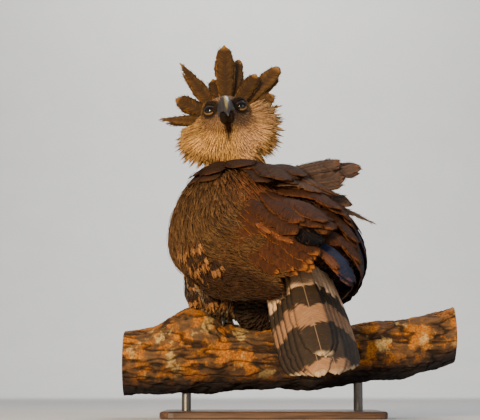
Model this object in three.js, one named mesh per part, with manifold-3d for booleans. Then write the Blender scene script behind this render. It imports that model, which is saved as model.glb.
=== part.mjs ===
// A life-size still model of a harpy eagle that stands on a cut length of tree limb, on a plain display stand.
// Millimetres, +Z up. The origin is the middle of the base's underside. The bird is seen from behind, along +Y,
// with +X to the viewer's right: it faces away and a little left, and its head is turned right round to look back.
import * as THREE from "three";
import { mergeVertices } from "three/addons/utils/BufferGeometryUtils.js";
import Module from "manifold-3d";

const wasm = await Module();
wasm.setup();

const { sin, cos, PI, abs, sign, min, max } = Math;
const DEGREE = PI / 180;
const vec = (x, y, z) => new THREE.Vector3(x, y, z);

// Driving dimensions
const GAP = 0.3; // left between nodes that touch
const BODY_CENTRE = vec(-20, 10, 341);
const BODY_PITCH = 33 * DEGREE; // the back's rise from tail to neck
const BODY_YAW = 24 * DEGREE; // how far the bird faces to the left of straight away
const HEAD_CENTRE = vec(-90, 72, 594);
const HEAD_PITCH = 12 * DEGREE; // the bill points a little up
const HEAD_ROLL = 8.5 * DEGREE; // the head leans to the viewer's left
const EYE_RADIUS = 13;
const TAIL_LENGTH = 370;
const TAIL_DROOP = 42 * DEGREE;
const TAIL_YAW = 12 * DEGREE;
const TAIL_ROLL = 12 * DEGREE; // the tail's left side hangs lower than its right
const LIMB_RADIUS = 59;
const LIMB_LEFT = -285;
const LIMB_RIGHT = 350;
const BASE_SIZE = { x: 420, y: 310, thick: 14, corner: 24, bevel: 2.5 };
const ROD_RADIUS = 9;
const ROD_PLACES = { left: -165, right: 165 };

const COLOURS = {
  plumage: { color: 0x5b4330, roughness: 0.9, metalness: 0 },
  head: { color: 0xc08a4e, roughness: 0.92, metalness: 0 },
  tail: { color: 0x8f6f52, roughness: 0.85, metalness: 0 },
  thigh: { color: 0xcbb393, roughness: 0.92, metalness: 0 },
  bill: { color: 0x33302f, roughness: 0.35, metalness: 0 },
  eye: { color: 0x2a1a0c, roughness: 0.05, metalness: 0 },
  foot: { color: 0xb8892c, roughness: 0.6, metalness: 0 },
  claw: { color: 0x1b1917, roughness: 0.3, metalness: 0 },
  bark: { color: 0x7a5232, roughness: 0.95, metalness: 0 },
  stand: { color: 0x2a2a2c, roughness: 0.5, metalness: 0 },
  rod: { color: 0x8c8f93, roughness: 0.35, metalness: 0.8 },
};

// Repeatable draw from 0 to 1
function seeded(seed) {
  let state = seed;
  return () => {
    state = (state * 1664525 + 1013904223) % 4294967296;
    return state / 4294967296;
  };
}

// Axes at a place: right, ahead and up, and the way between their numbers and the world's
class Axes {
  constructor(origin, ahead, right) {
    this.origin = origin;
    this.ahead = ahead.clone().normalize();
    this.right = right.clone().normalize();
    this.up = this.right.clone().cross(this.ahead).normalize();
  }
  way(right, ahead, up) {
    return vec(0, 0, 0)
      .addScaledVector(this.right, right)
      .addScaledVector(this.ahead, ahead)
      .addScaledVector(this.up, up);
  }
  at(right, ahead, up) {
    return this.way(right, ahead, up).add(this.origin);
  }
}

const bodyAxes = new Axes(
  BODY_CENTRE,
  vec(-cos(BODY_PITCH) * sin(BODY_YAW), cos(BODY_PITCH) * cos(BODY_YAW), sin(BODY_PITCH)),
  vec(cos(BODY_YAW), sin(BODY_YAW), 0),
);
const headAxes = new Axes(
  HEAD_CENTRE,
  vec(0, -cos(HEAD_PITCH), sin(HEAD_PITCH)),
  vec(-cos(HEAD_ROLL), -sin(HEAD_PITCH) * sin(HEAD_ROLL), -cos(HEAD_PITCH) * sin(HEAD_ROLL)),
);
const TAIL_ROOT = vec(35, -128, 327);
const tailAhead = vec(cos(TAIL_DROOP) * sin(TAIL_YAW), -cos(TAIL_DROOP) * cos(TAIL_YAW), -sin(TAIL_DROOP));
const tailAxes = new Axes(
  TAIL_ROOT,
  tailAhead,
  vec(-cos(TAIL_YAW), -sin(TAIL_YAW), 0).applyAxisAngle(tailAhead, TAIL_ROLL),
);

// Smooth curve through stations [x, value, value, ...], straight past its ends
function profile(stations) {
  const slope = (i, j) => {
    const a = stations[max(i - 1, 0)];
    const b = stations[min(i + 1, stations.length - 1)];
    return (b[j] - a[j]) / (b[0] - a[0]);
  };
  return (x) => {
    const rising = stations[1][0] > stations[0][0] ? 1 : -1;
    let i = 0;
    while (i < stations.length - 2 && (x - stations[i + 1][0]) * rising > 0) i += 1;
    const [a, b] = [stations[i], stations[i + 1]];
    const span = b[0] - a[0];
    const t = (x - a[0]) / span;
    return a.slice(1).map((value, k) => {
      const j = k + 1;
      if (t < 0) return value + slope(i, j) * t * span;
      if (t > 1) return b[j] + slope(i + 1, j) * (t - 1) * span;
      const [t2, t3] = [t * t, t * t * t];
      return (
        (2 * t3 - 3 * t2 + 1) * value +
        (t3 - 2 * t2 + t) * slope(i, j) * span +
        (3 * t2 - 2 * t3) * b[j] +
        (t3 - t2) * slope(i + 1, j) * span
      );
    });
  };
}

// A closed solid from triangles given as points, turned to face out
function solidFrom(points, faces) {
  const positions = new Float32Array(faces.length * 9);
  faces.forEach((face, i) => face.forEach((v, j) => points[v].toArray(positions, i * 9 + j * 3)));
  return solidOf(new THREE.BufferGeometry().setAttribute("position", new THREE.BufferAttribute(positions, 3)));
}

// The geometry of a solid
function geometryOf(solid) {
  const { numVert, numProp, vertProperties, triVerts } = solid.getMesh();
  const positions = new Float32Array(numVert * 3);
  for (let i = 0; i < numVert; i += 1)
    for (let k = 0; k < 3; k += 1) positions[i * 3 + k] = vertProperties[i * numProp + k];
  return new THREE.BufferGeometry()
    .setAttribute("position", new THREE.BufferAttribute(positions, 3))
    .setIndex(new THREE.BufferAttribute(triVerts, 1));
}

function solidOf(geometry) {
  const bare = geometry.index ? geometry.toNonIndexed() : geometry.clone();
  bare.deleteAttribute("normal");
  bare.deleteAttribute("uv");
  const merged = mergeVertices(bare, 1e-4);
  const triVerts = new Uint32Array(merged.index.array);
  const vertProperties = merged.attributes.position.array;
  const made = new wasm.Manifold(new wasm.Mesh({ numProp: 3, vertProperties, triVerts }));
  if (made.volume() >= 0) return made;
  for (let i = 0; i < triVerts.length; i += 3) [triVerts[i + 1], triVerts[i + 2]] = [triVerts[i + 2], triVerts[i + 1]];
  return new wasm.Manifold(new wasm.Mesh({ numProp: 3, vertProperties, triVerts }));
}

// Closed skin over rings of points, each ring with as many points as the next, with a fan over each end
function loft(rings) {
  const count = rings[0].length;
  const points = rings.flat();
  const faces = [];
  for (let i = 0; i + 1 < rings.length; i += 1)
    for (let j = 0; j < count; j += 1) {
      const [a, b] = [i * count + j, i * count + ((j + 1) % count)];
      faces.push([a, b, b + count], [a, b + count, a + count]);
    }
  [0, rings.length - 1].forEach((end) => {
    const middle = points.length;
    points.push(rings[end].reduce((sum, p) => sum.add(p), vec(0, 0, 0)).divideScalar(count));
    for (let j = 0; j < count; j += 1) {
      const [a, b] = [end * count + j, end * count + ((j + 1) % count)];
      faces.push(end ? [a, b, middle] : [b, a, middle]);
    }
  });
  return solidFrom(points, faces);
}

// Round tube through points, with a radius at each
function tube(path, radii, sides, squash = 1) {
  const ways = path.map((p, i) =>
    path[min(i + 1, path.length - 1)]
      .clone()
      .sub(path[max(i - 1, 0)])
      .normalize(),
  );
  const across = abs(ways[0].z) > 0.9 ? vec(1, 0, 0) : vec(0, 0, 1);
  const rings = path.map((p, i) => {
    const u = across.clone().cross(ways[i]).normalize();
    const v = ways[i].clone().cross(u).normalize();
    return Array.from({ length: sides }, (_, j) => {
      const angle = (2 * PI * j) / sides;
      return p
        .clone()
        .addScaledVector(u, cos(angle) * radii[i])
        .addScaledVector(v, sin(angle) * radii[i] * squash);
    });
  });
  return loft(rings);
}

const joined = (solids) => wasm.Manifold.union(solids);

// A solid's largest closed body
const largest = (solid) => solid.decompose().reduce((best, body) => (body.volume() > best.volume() ? body : best));

// What is left of a solid once each neighbour, already grown by the gap, is taken away: its largest closed body. The
// surface is rebuilt from its rounded points before the second look, as rounding can part bodies that touch at a point.
function clearOf(solid, ...neighbours) {
  const body = largest(neighbours.reduce((left, other) => left.subtract(other), solid));
  return largest(solidOf(geometryOf(body)));
}

// A feather's vane: a thin closed blade along a spine. Each station holds a point, the way across and the way up.
// half is its half width and thick its thickness there; both faces are split into triangles alike.
function blade(stations, { camber = 0.08, edge = 0.35, grow = 0 }) {
  const points = [];
  stations.forEach(({ point, across, up, half, thick }) => {
    const wide = half + grow;
    const deep = thick + 2 * grow;
    [-1, 0, 1].forEach((side) => {
      const middle = point.clone().addScaledVector(across, side * wide);
      middle.addScaledVector(up, -abs(side) * camber * half);
      const halfDeep = (side ? edge : 1) * deep * 0.5;
      points.push(middle.clone().addScaledVector(up, halfDeep), middle.clone().addScaledVector(up, -halfDeep));
    });
  });
  const faces = [];
  const quad = (a, b, c, d) => faces.push([a, b, c], [a, c, d]);
  for (let i = 0; i + 1 < stations.length; i += 1) {
    const [near, far] = [i * 6, i * 6 + 6];
    for (const j of [0, 2]) {
      quad(near + j, near + j + 2, far + j + 2, far + j);
      faces.push([near + j + 1, far + j + 3, near + j + 3], [near + j + 1, far + j + 1, far + j + 3]);
    }
    quad(near + 1, near, far, far + 1);
    quad(near + 4, near + 5, far + 5, far + 4);
  }
  const last = (stations.length - 1) * 6;
  faces.push([1, 3, 0], [3, 2, 0], [3, 5, 2], [5, 4, 2]);
  faces.push([last + 1, last, last + 3], [last + 3, last, last + 2]);
  faces.push([last + 3, last + 2, last + 5], [last + 5, last + 2, last + 4]);
  return solidFrom(points, faces);
}

// Outlines of vanes as shares of the half width along the length, from the root to the tip
const OUTLINES = {
  short: [
    [0, 0.6],
    [0.5, 1],
    [0.85, 0.8],
    [1, 0.22],
  ],
  long: [
    [0, 0.35],
    [0.35, 0.86],
    [0.74, 1],
    [0.92, 0.8],
    [1, 0.25],
  ],
  broad: [
    [0, 0.45],
    [0.45, 0.92],
    [0.86, 1],
    [1, 0.35],
  ],
  lance: [
    [0, 0.45],
    [0.35, 1],
    [0.7, 0.72],
    [1, 0.1],
  ],
  lock: [
    [0, 0.6],
    [0.45, 1],
    [1, 0.12],
  ],
};

// A vane that follows a curved surface. surface(f, angle) gives a point, the way out, the way to the rear and the way
// round, and how many millimetres one unit of f and of angle cover there.
function vaneOn(surface, spec, grow = 0) {
  const outline = OUTLINES[spec.outline];
  let [f, angle] = [spec.f, spec.angle];
  const drift = spec.drift ?? 0;
  const path = [];
  outline.forEach(([t, share], i) => {
    const here = surface(f, angle);
    const lift = spec.lift[0] + (spec.lift[1] - spec.lift[0]) * t ** 0.8;
    path.push({ point: here.point.clone().addScaledVector(here.out, lift), out: here.out, share });
    if (i + 1 === outline.length) return;
    const run = (outline[i + 1][0] - t) * spec.length;
    f -= (run * cos(drift)) / here.perF;
    angle += (run * sin(drift)) / here.perAngle;
  });
  return bladeAlong(path, spec, grow);
}

// A vane that leaves a point in a given way and bends towards another as it goes
function vaneFree(spec, grow = 0) {
  const outline = OUTLINES[spec.outline];
  const path = outline.map(([t, share]) => ({
    point: spec.root
      .clone()
      .addScaledVector(spec.way, spec.length * t)
      .addScaledVector(spec.out, (spec.bend ?? 0) * spec.length * t * t),
    out: spec.out,
    share,
  }));
  return bladeAlong(path, spec, grow);
}

function bladeAlong(path, spec, grow) {
  const roll = spec.roll ?? 0;
  const stations = path.map(({ point, out, share }, i) => {
    const way = path[min(i + 1, path.length - 1)].point
      .clone()
      .sub(path[max(i - 1, 0)].point)
      .normalize();
    const flat = way.clone().cross(out).normalize();
    const up = flat.clone().cross(way).normalize();
    const across = flat.clone().multiplyScalar(cos(roll)).addScaledVector(up, sin(roll));
    const end = i === 0 ? -grow : i + 1 === path.length ? grow : 0;
    return {
      point: point.clone().addScaledVector(way, end),
      across,
      up: up.clone().multiplyScalar(cos(roll)).addScaledVector(flat, -sin(roll)),
      half: (spec.width * share) / 2,
      thick: spec.thick * (i + 1 === path.length ? 0.5 : 1),
    };
  });
  return blade(stations, { camber: spec.camber, edge: spec.edge, grow });
}

// Body sections across its length: place ahead of the centre, half width, height of the back, depth of the belly
const torsoSection = profile([
  [-186, 36, 96, 28],
  [-140, 80, 110, -44],
  [-80, 118, 119, -100],
  [-10, 142, 122, -132],
  [60, 146, 122, -130],
  [122, 122, 112, -100],
  [165, 86, 96, -52],
  [184, 52, 78, -14],
]);
// The surface that the folded wings' coverts lie in, outside the torso
const wingSection = profile([
  [-290, 56, 100, 30],
  [-220, 104, 116, -34],
  [-150, 148, 128, -92],
  [-80, 176, 135, -132],
  [-10, 184, 138, -154],
  [60, 176, 138, -150],
  [135, 132, 122, -100],
  [176, 74, 96, -40],
]);

const rounded = (value, power) => sign(value) * abs(value) ** power;

function sectionPoint(section, f, angle) {
  const [half, top, bottom] = section(f);
  const side = half * rounded(sin(angle), 0.92);
  const height = (top + bottom) / 2 + ((top - bottom) / 2) * rounded(cos(angle), 0.92);
  return bodyAxes.at(side, f, height);
}

// The body's surface in the terms that vaneOn wants. angle is 0 on the back's middle and grows to the bird's right.
function bodySurface(section) {
  return (f, angle) => {
    const step = 0.02;
    const point = sectionPoint(section, f, angle);
    const rear = sectionPoint(section, f - 1, angle).sub(point);
    const round = sectionPoint(section, f, angle + step).sub(sectionPoint(section, f, angle - step));
    const out = rear.clone().cross(round).normalize();
    const [half, top, bottom] = section(f);
    const middle = bodyAxes.at(0, f, (top + bottom) / 2);
    if (out.dot(point.clone().sub(middle)) < 0) out.negate();
    return {
      point,
      out,
      rear: rear.clone().normalize(),
      perF: max(rear.length(), 1),
      perAngle: max(round.length() / (2 * step), half * 0.2),
    };
  };
}

const torsoSurface = bodySurface(torsoSection);
const wingSurface = bodySurface(wingSection);

// Torso

const TORSO_RINGS = [-186, -160, -120, -65, 0, 60, 110, 148, 172, 184];
const TORSO_SIDES = 16;

// Back feathers between the wings, from the nape to the rump
function mantleVanes() {
  const draw = seeded(11);
  const vanes = [];
  [66, -24].forEach((f) => {
    const places = [-9, 9];
    places.forEach((place) => {
      vanes.push({
        f: f + 8 * draw(),
        angle: place * DEGREE,
        length: 112 + 8 * draw(),
        width: 60,
        thick: 2.2,
        lift: [-3, 6.5],
        roll: 3 * DEGREE * sign(place),
        outline: "short",
      });
    });
  });
  return vanes;
}

// The ragged collar of broad feathers that stands up behind the head
function collarVanes() {
  const places = [-56, -34, -12, 10, 32, 52];
  return places.map((place, i) => ({
    f: 150 - 5 * abs(i - 2),
    angle: place * DEGREE,
    length: 74,
    width: 58,
    thick: 2.4,
    lift: [-4, 11],
    roll: 5 * DEGREE,
    camber: 0.14,
    outline: "broad",
  }));
}

// Long coverts that run from the rump over the tail's root
function rumpVanes() {
  const tailward = tailAxes.ahead.clone().multiplyScalar(0.75).addScaledVector(bodyAxes.ahead, -0.25).normalize();
  return [-42, 42, -21, 21, 0].map((place, i) => {
    const here = torsoSurface(-128 + 2 * i, place * DEGREE);
    const out = here.out.clone().addScaledVector(tailward, -here.out.dot(tailward)).normalize();
    return {
      root: here.point.addScaledVector(here.out, [-15, -14, -11, -10, -7][i]),
      way: tailward,
      out,
      length: 128,
      width: 60,
      thick: 2,
      bend: -0.02,
      camber: 0.16,
      outline: "broad",
    };
  });
}

// The down between the legs, which hangs to the limb
const BELLY_DOWN = { centre: [-11, -75, -105], size: [58, 60, 50] };

function torsoSolid(grow) {
  const rings = TORSO_RINGS.map((f) =>
    Array.from({ length: TORSO_SIDES }, (_, j) => {
      const here = torsoSurface(f, (2 * PI * j) / TORSO_SIDES);
      return here.point.addScaledVector(here.out, grow);
    }),
  );
  rings[0].forEach((p) => p.addScaledVector(bodyAxes.ahead, -grow));
  rings.at(-1).forEach((p) => p.addScaledVector(bodyAxes.ahead, grow));
  const vanes = [...mantleVanes(), ...collarVanes()].map((spec) => vaneOn(torsoSurface, spec, grow));
  const down = ellipsoid(bodyAxes, BELLY_DOWN.centre, BELLY_DOWN.size.map((reach) => reach + grow), 10, 6);
  return joined([loft(rings), down, ...vanes, ...rumpVanes().map((spec) => vaneFree(spec, grow))]);
}

// Wings: a shell between the torso and the wing surface, with the feathers in tiers over it

const WING_RINGS = [152, 122, 74, 14, -50, -112, -172];
const WING_DEPTH = 44; // how far the shell's inner face lies under the wing surface before the torso is cut away
const WING_ARC = 6; // steps round the shell's outer face
// The shell's upper and lower edge, in degrees from the back's middle, along the body
const wingEdges = profile([
  [-172, 22, 112],
  [-100, 15, 120],
  [-20, 13, 120],
  [50, 13, 118],
  [112, 20, 106],
  [152, 40, 80],
]);

function wingShell(side) {
  const rings = WING_RINGS.map((f) => {
    const [upper, lower] = wingEdges(f);
    const arc = (t, depth) => {
      const here = wingSurface(f, side * (upper + (lower - upper) * t) * DEGREE);
      return here.point.addScaledVector(here.out, -depth);
    };
    const steps = Array.from({ length: WING_ARC + 1 }, (_, j) => j / WING_ARC);
    const depth = f < -150 ? 18 : WING_DEPTH;
    return [...steps.map((t) => arc(t, 0)), ...steps.reverse().map((t) => arc(t, depth))];
  });
  return loft(rings);
}

// A row of like feathers round the body. Even rows are set half a place on, so that they overlap like tiles.
function tier(side, row, draw) {
  const specs = [];
  const count = row.count;
  for (let i = 0; i < count; i += 1) {
    const t = count > 1 ? i / (count - 1) : 0.5;
    const along = row.f[0] + (row.f[1] - row.f[0]) * t;
    specs.push({
      f: along + (draw() - 0.5) * 7,
      angle: side * (row.from + (row.to - row.from) * t) * DEGREE,
      length: (row.length[0] + (row.length[1] - row.length[0]) * t) * (0.95 + 0.1 * draw()),
      width: row.width * (0.95 + 0.1 * draw()),
      thick: row.thick,
      lift: row.lift,
      drift: side * (row.drift ?? 0) * DEGREE,
      roll: side * 5 * DEGREE,
      camber: 0.12,
      outline: row.outline,
    });
  }
  return specs;
}

const WING_TIERS = [
  { count: 4, f: [28, 8], from: 46, to: 108, length: [84, 72], width: 68, lift: [-6, 7] },
  { count: 4, f: [-32, -44], from: 50, to: 110, length: [104, 90], width: 72, lift: [-6, 7] },
];
const SCAPULARS = [
  { count: 2, f: [84, 74], from: 19, to: 36, length: [116, 116], width: 68, lift: [-6, 14] },
  { count: 2, f: [14, 2], from: 20, to: 39, length: [128, 130], width: 72, lift: [-6, 15] },
  { count: 2, f: [-66, -76], from: 21, to: 43, length: [146, 146], width: 74, lift: [-6, 12], drift: -4 },
];
const FLIGHT_FEATHERS = [
  { count: 4, f: [-98, -88], from: 46, to: 100, length: [160, 185], width: 72, lift: [-7, 4], drift: 2 },
  { count: 3, f: [-106, -88], from: 103, to: 127, length: [185, 205], width: 48, lift: [-12, -5], drift: 8 },
];

function wingVanes(side) {
  const draw = seeded(side > 0 ? 23 : 41);
  const rows = [
    ...WING_TIERS.map((row) => ({ ...row, thick: 2.2, outline: "short" })),
    ...SCAPULARS.map((row) => ({ ...row, thick: 2.6, outline: "short" })),
    ...FLIGHT_FEATHERS.map((row) => ({ ...row, thick: 2.6, outline: "broad" })),
  ];
  return rows.flatMap((row) => tier(side, row, draw));
}

// Back feathers of the right wing that the wind lifts clear of the body, from root to tip
const WINDBLOWN = [
  { root: vec(-2, 12, 468), tip: vec(136, 14, 502), out: vec(-0.15, -0.66, 0.74), width: 42, outline: "broad" },
  { root: vec(36, 14, 458), tip: vec(173, 6, 490), out: vec(-0.15, -0.66, 0.74), width: 52, outline: "broad" },
  { root: vec(44, -10, 448), tip: vec(142, -30, 462), out: vec(-0.1, -0.72, 0.7), width: 50, outline: "broad" },
  { root: vec(74, 0, 430), tip: vec(152, -8, 414), out: vec(0.2, -0.8, 0.55), width: 38, outline: "broad" },
  { root: vec(92, 2, 424), tip: vec(198, -14, 376), out: vec(0.3, -0.75, 0.6), width: 15, outline: "lance" },
];

function windblownVanes() {
  return WINDBLOWN.map(({ root, tip, out, width, outline }) => {
    const way = tip.clone().sub(root).normalize();
    const length = tip.distanceTo(root);
    return { root, way, out: out.clone().normalize(), length, width, thick: 2.2, camber: 0.12, outline };
  });
}

function wingSolid(side, grow) {
  const vanes = wingVanes(side).map((spec) => vaneOn(wingSurface, spec, grow));
  if (side > 0) vanes.push(...windblownVanes().map((spec) => vaneFree(spec, grow)));
  return joined([wingShell(side), ...vanes]);
}

// Tail: twelve broad feathers stacked like tiles from the middle out, over a short root

const TAIL_PAIRS = 6;
const TAIL_ARCH = 84; // radius of the arch that the feathers' shafts lie on
const TAIL_LAYER = 2.5; // each feather lies this far under the one before

function tailFeathers() {
  const specs = [];
  for (let pair = 0; pair < TAIL_PAIRS; pair += 1)
    for (const side of [-1, 1]) {
      const lean = (2 + pair * 7) * DEGREE;
      const spread = side * (0.2 + pair * 0.35) * DEGREE;
      const layer = TAIL_LAYER * (2 * pair + (side > 0 ? 0 : 1));
      specs.push({
        root: tailAxes.at(side * TAIL_ARCH * sin(lean), 8, -TAIL_ARCH * (1 - cos(lean)) - layer),
        way: tailAxes.way(sin(spread), cos(spread), 0),
        out: tailAxes.way(side * sin(lean), 0, cos(lean)),
        length: TAIL_LENGTH * (pair === 0 ? 0.8 : 0.905 - 0.03 * (pair - 1)),
        width: 62 - pair,
        thick: 1.6,
        edge: 0.5,
        camber: 0.2,
        bend: -0.05,
        outline: "long",
      });
    }
  return specs;
}

function tailSolid(grow) {
  const root = tube(
    [tailAxes.at(0, -34, -18), tailAxes.at(0, 0, -18), tailAxes.at(0, 40, -20), tailAxes.at(0, 70, -22)],
    [40, 62, 62, 34],
    12,
    0.5,
  );
  return joined([root, ...tailFeathers().map((spec) => vaneFree(spec, grow))]);
}

// Neck

const NECK_RADII = [34, 46, 46, 43, 40, 36];

function neckSolid(grow) {
  const path = [
    bodyAxes.at(0, 126, 40),
    bodyAxes.at(0, 150, 82),
    headAxes.at(0, -38, -66),
    headAxes.at(0, -28, -38),
  ];
  const curve = new THREE.CatmullRomCurve3(path);
  return tube(
    NECK_RADII.map((_, i) => curve.getPoint(i / (NECK_RADII.length - 1))),
    NECK_RADII.map((r) => r + grow),
    12,
  );
}

// Head: a feathered skull with cheeks, brow ridges, lids and gape, under a fan of crest feathers and a ruff

const EYE_PLACE = { side: 29, ahead: 34, up: 7 };
const skullSection = profile([
  [-62, 14, 10, -18],
  [-48, 36, 32, -34],
  [-20, 49, 43, -46],
  [10, 51, 45, -46],
  [34, 41, 37, -36],
  [50, 25, 22, -26],
  [58, 16, 13, -20],
]);

const SKULL_SIDES = 12;

function skullSolid() {
  const rings = [-62, -46, -22, 6, 32, 48, 58].map((ahead) => {
    const [half, top, bottom] = skullSection(ahead);
    return Array.from({ length: SKULL_SIDES }, (_, j) => {
      const angle = (2 * PI * j) / SKULL_SIDES;
      return headAxes.at(half * sin(angle), ahead, (top + bottom) / 2 + ((top - bottom) / 2) * cos(angle));
    });
  });
  return loft(rings);
}

function ellipsoid(axes, centre, size, wide, high) {
  const shape = new THREE.SphereGeometry(1, wide, high);
  const matrix = new THREE.Matrix4().makeBasis(
    axes.right.clone().multiplyScalar(size[0]),
    axes.ahead.clone().multiplyScalar(size[1]),
    axes.up.clone().multiplyScalar(size[2]),
  );
  matrix.setPosition(axes.at(...centre));
  return solidOf(shape.applyMatrix4(matrix));
}

const eyeBall = (side, radius) =>
  ellipsoid(headAxes, [side * EYE_PLACE.side, EYE_PLACE.ahead, EYE_PLACE.up], [radius, radius, radius], 10, 6);

// A lid: a ring round the eye, which stands out of the socket, with a thicker upper half under the brow
const LID = { steps: 8, stand: 7.5, wide: 2.8, deep: 2.4 };

function lidRing(side) {
  const { steps, stand, wide, deep } = LID;
  const middle = headAxes.at(side * EYE_PLACE.side, EYE_PLACE.ahead, EYE_PLACE.up);
  const outward = headAxes.way(side * 0.52, 0.84, 0.08).normalize();
  const across = headAxes.up.clone().cross(outward).normalize();
  const rise = outward.clone().cross(across).normalize();
  const path = [];
  for (let i = 0; i < steps; i += 1) {
    const angle = (2 * PI * i) / steps;
    path.push(
      middle
        .clone()
        .addScaledVector(outward, stand)
        .addScaledVector(across, cos(angle) * (EYE_RADIUS - 1))
        .addScaledVector(rise, sin(angle) * (EYE_RADIUS - 2.5)),
    );
  }
  const points = [];
  const faces = [];
  const sides = 4;
  for (let i = 0; i < steps; i += 1) {
    const radial = path[i].clone().sub(middle).addScaledVector(outward, -stand).normalize();
    for (let j = 0; j < sides; j += 1) {
      const turn = (2 * PI * j) / sides;
      points.push(
        path[i]
          .clone()
          .addScaledVector(radial, cos(turn) * wide)
          .addScaledVector(outward, sin(turn) * deep),
      );
      const [a, b] = [i * sides + j, i * sides + ((j + 1) % sides)];
      const [c, d] = [((i + 1) % steps) * sides + j, ((i + 1) % steps) * sides + ((j + 1) % sides)];
      faces.push([a, b, d], [a, d, c]);
    }
  }
  return solidFrom(points, faces);
}

// The brow: a ridge from the bill's base over the eye to the temple
const browRidge = (side) =>
  tube(
    [
      headAxes.at(side * 14, 50, 16),
      headAxes.at(side * 25, 45, 23),
      headAxes.at(side * 38, 32, 24),
      headAxes.at(side * 46, 14, 16),
    ],
    [4, 6, 7, 4],
    8,
  );

// The gape: the mouth's line carried back from the bill to under the eye
const gapeFold = (side) =>
  tube(
    [headAxes.at(side * 13, 58, -13), headAxes.at(side * 22, 46, -15), headAxes.at(side * 31, 31, -17)],
    [3, 4, 2.4],
    6,
  );

// Crest feathers as seen from the front: degrees from the head's top, reach from its centre, width and outline
const CREST = [
  { turn: -74.5, reach: 137, width: 25, outline: "lance", back: 10 },
  { turn: -49, reach: 122, width: 33, outline: "broad", back: 14 },
  { turn: -24, reach: 181, width: 31, outline: "lance", back: 12 },
  { turn: -6.5, reach: 115, width: 25, outline: "broad", back: 22 },
  { turn: 7, reach: 195, width: 37, outline: "broad", back: 14 },
  { turn: 16.5, reach: 178, width: 30, outline: "broad", back: 24 },
  { turn: 36, reach: 131, width: 30, outline: "broad", back: 12 },
  { turn: 44, reach: 190, width: 34, outline: "broad", back: 20 },
  { turn: 60, reach: 126, width: 30, outline: "broad", back: 16 },
  { turn: 76.5, reach: 120, width: 17, outline: "lance", back: 10 },
];
const CREST_ROOT = 30;

function crestVanes() {
  return CREST.map(({ turn, reach, width, outline, back }, i) => {
    const angle = -turn * DEGREE;
    const tilt = back * DEGREE;
    const way = headAxes.way(sin(angle) * cos(tilt), -sin(tilt), cos(angle) * cos(tilt));
    const out = headAxes.way(sin(angle) * sin(tilt), cos(tilt), cos(angle) * sin(tilt));
    return {
      root: headAxes.at(sin(angle) * CREST_ROOT, -20 - (i % 3) * 5, cos(angle) * CREST_ROOT),
      way,
      out,
      length: (reach - CREST_ROOT) / cos(tilt),
      width,
      thick: 2.2,
      bend: -0.04,
      outline,
    };
  });
}

// The ruff: feathers that stand out round the face from the temples to under the chin, in two rings
const RUFF_RINGS = [
  { count: 5, root: 62, reach: 125, width: 34, ahead: -14, back: 8, from: 94, to: 144 },
  { count: 4, root: 62, reach: 111, width: 32, ahead: 2, back: 10, from: 104, to: 140 },
];

function ruffVanes() {
  const draw = seeded(7);
  return RUFF_RINGS.flatMap((ring) =>
    Array.from({ length: 2 * ring.count }, (_, i) => {
      const side = i < ring.count ? 1 : -1;
      const step = (i % ring.count) / (ring.count - 1);
      const turn = side * (ring.from + (ring.to - ring.from) * step) * DEGREE;
      const tilt = ring.back * DEGREE;
      const reach = ring.reach * (0.96 + 0.08 * draw());
      const radial = [sin(turn), cos(turn)];
      return {
        root: headAxes.at(radial[0] * ring.root, ring.ahead, radial[1] * ring.root * 0.9 - 6),
        way: headAxes.way(radial[0] * cos(tilt), -sin(tilt), radial[1] * cos(tilt)),
        out: headAxes.way(radial[0] * sin(tilt), cos(tilt), radial[1] * sin(tilt)),
        length: reach - ring.root,
        width: ring.width,
        thick: 2,
        edge: 0.4,
        roll: side * 13 * DEGREE,
        outline: "lock",
      };
    }),
  );
}

function headSolid(grow) {
  const cheeks = ellipsoid(headAxes, [0, -8, -32], [84, 34, 64], 12, 7);
  const pieces = [skullSolid(), cheeks, ...[-1, 1].flatMap((side) => [browRidge(side), gapeFold(side)])];
  const sockets = [-1, 1].map((side) => eyeBall(side, EYE_RADIUS + GAP));
  const vanes = [...crestVanes(), ...ruffVanes()].map((spec) => vaneFree(spec, grow));
  const face = joined([...pieces, lidRing(1), lidRing(-1)]);
  return joined([sockets.reduce((left, socket) => left.subtract(socket), face), ...vanes]);
}

// Bill: the upper half with its cere and hook, and the lower half, which meet along the mouth's line

// Ahead and up of the ridge, ahead and up of the cutting edge, half width there
const UPPER_BILL = [
  [42, 21, 42, -13, 18],
  [58, 23, 58, -14.5, 16.5],
  [72, 20.5, 72, -15, 14],
  [84, 13.5, 83, -16.5, 11.5],
  [94, 2.5, 90.5, -19, 8.5],
  [101, -9, 94.5, -22.5, 6],
  [104.5, -20, 98, -26.5, 4],
  [105.5, -30, 101.5, -32, 2.2],
  [105, -36, 103.5, -36.4, 0.9],
];
const LOWER_BILL = [
  [42, -29, 42, -14, 15.5],
  [58, -30, 58, -15.3, 14],
  [74, -29, 74, -16, 11],
  [84, -27, 84, -18, 7.5],
  [89, -25, 89, -20.5, 4],
];
const BILL_SIDES = 10;
const MOUTH_GAP = 0.6;

// Rings along a bill half: rounded over its ridge, straight across where it meets the other half
function billRings(stations) {
  return stations.map(([ridgeAhead, ridge, edgeAhead, edge, half]) =>
    Array.from({ length: BILL_SIDES + 1 }, (_, j) => {
      const angle = PI * (j / BILL_SIDES - 0.5);
      const rise = cos(angle);
      const ahead = edgeAhead + (ridgeAhead - edgeAhead) * rise;
      return headAxes.at(half * sin(angle), ahead, edge + (ridge - edge) * rise);
    }),
  );
}

function upperBill(grow) {
  const grown = UPPER_BILL.map(([ridgeAhead, ridge, edgeAhead, edge, half]) => [
    ridgeAhead,
    ridge + grow,
    edgeAhead,
    edge - grow,
    half + grow,
  ]);
  return loft(billRings(grown));
}

function nostril(side) {
  return ellipsoid(headAxes, [side * 15.5, 63, 3], [4, 3.2, 2], 6, 4);
}

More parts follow.
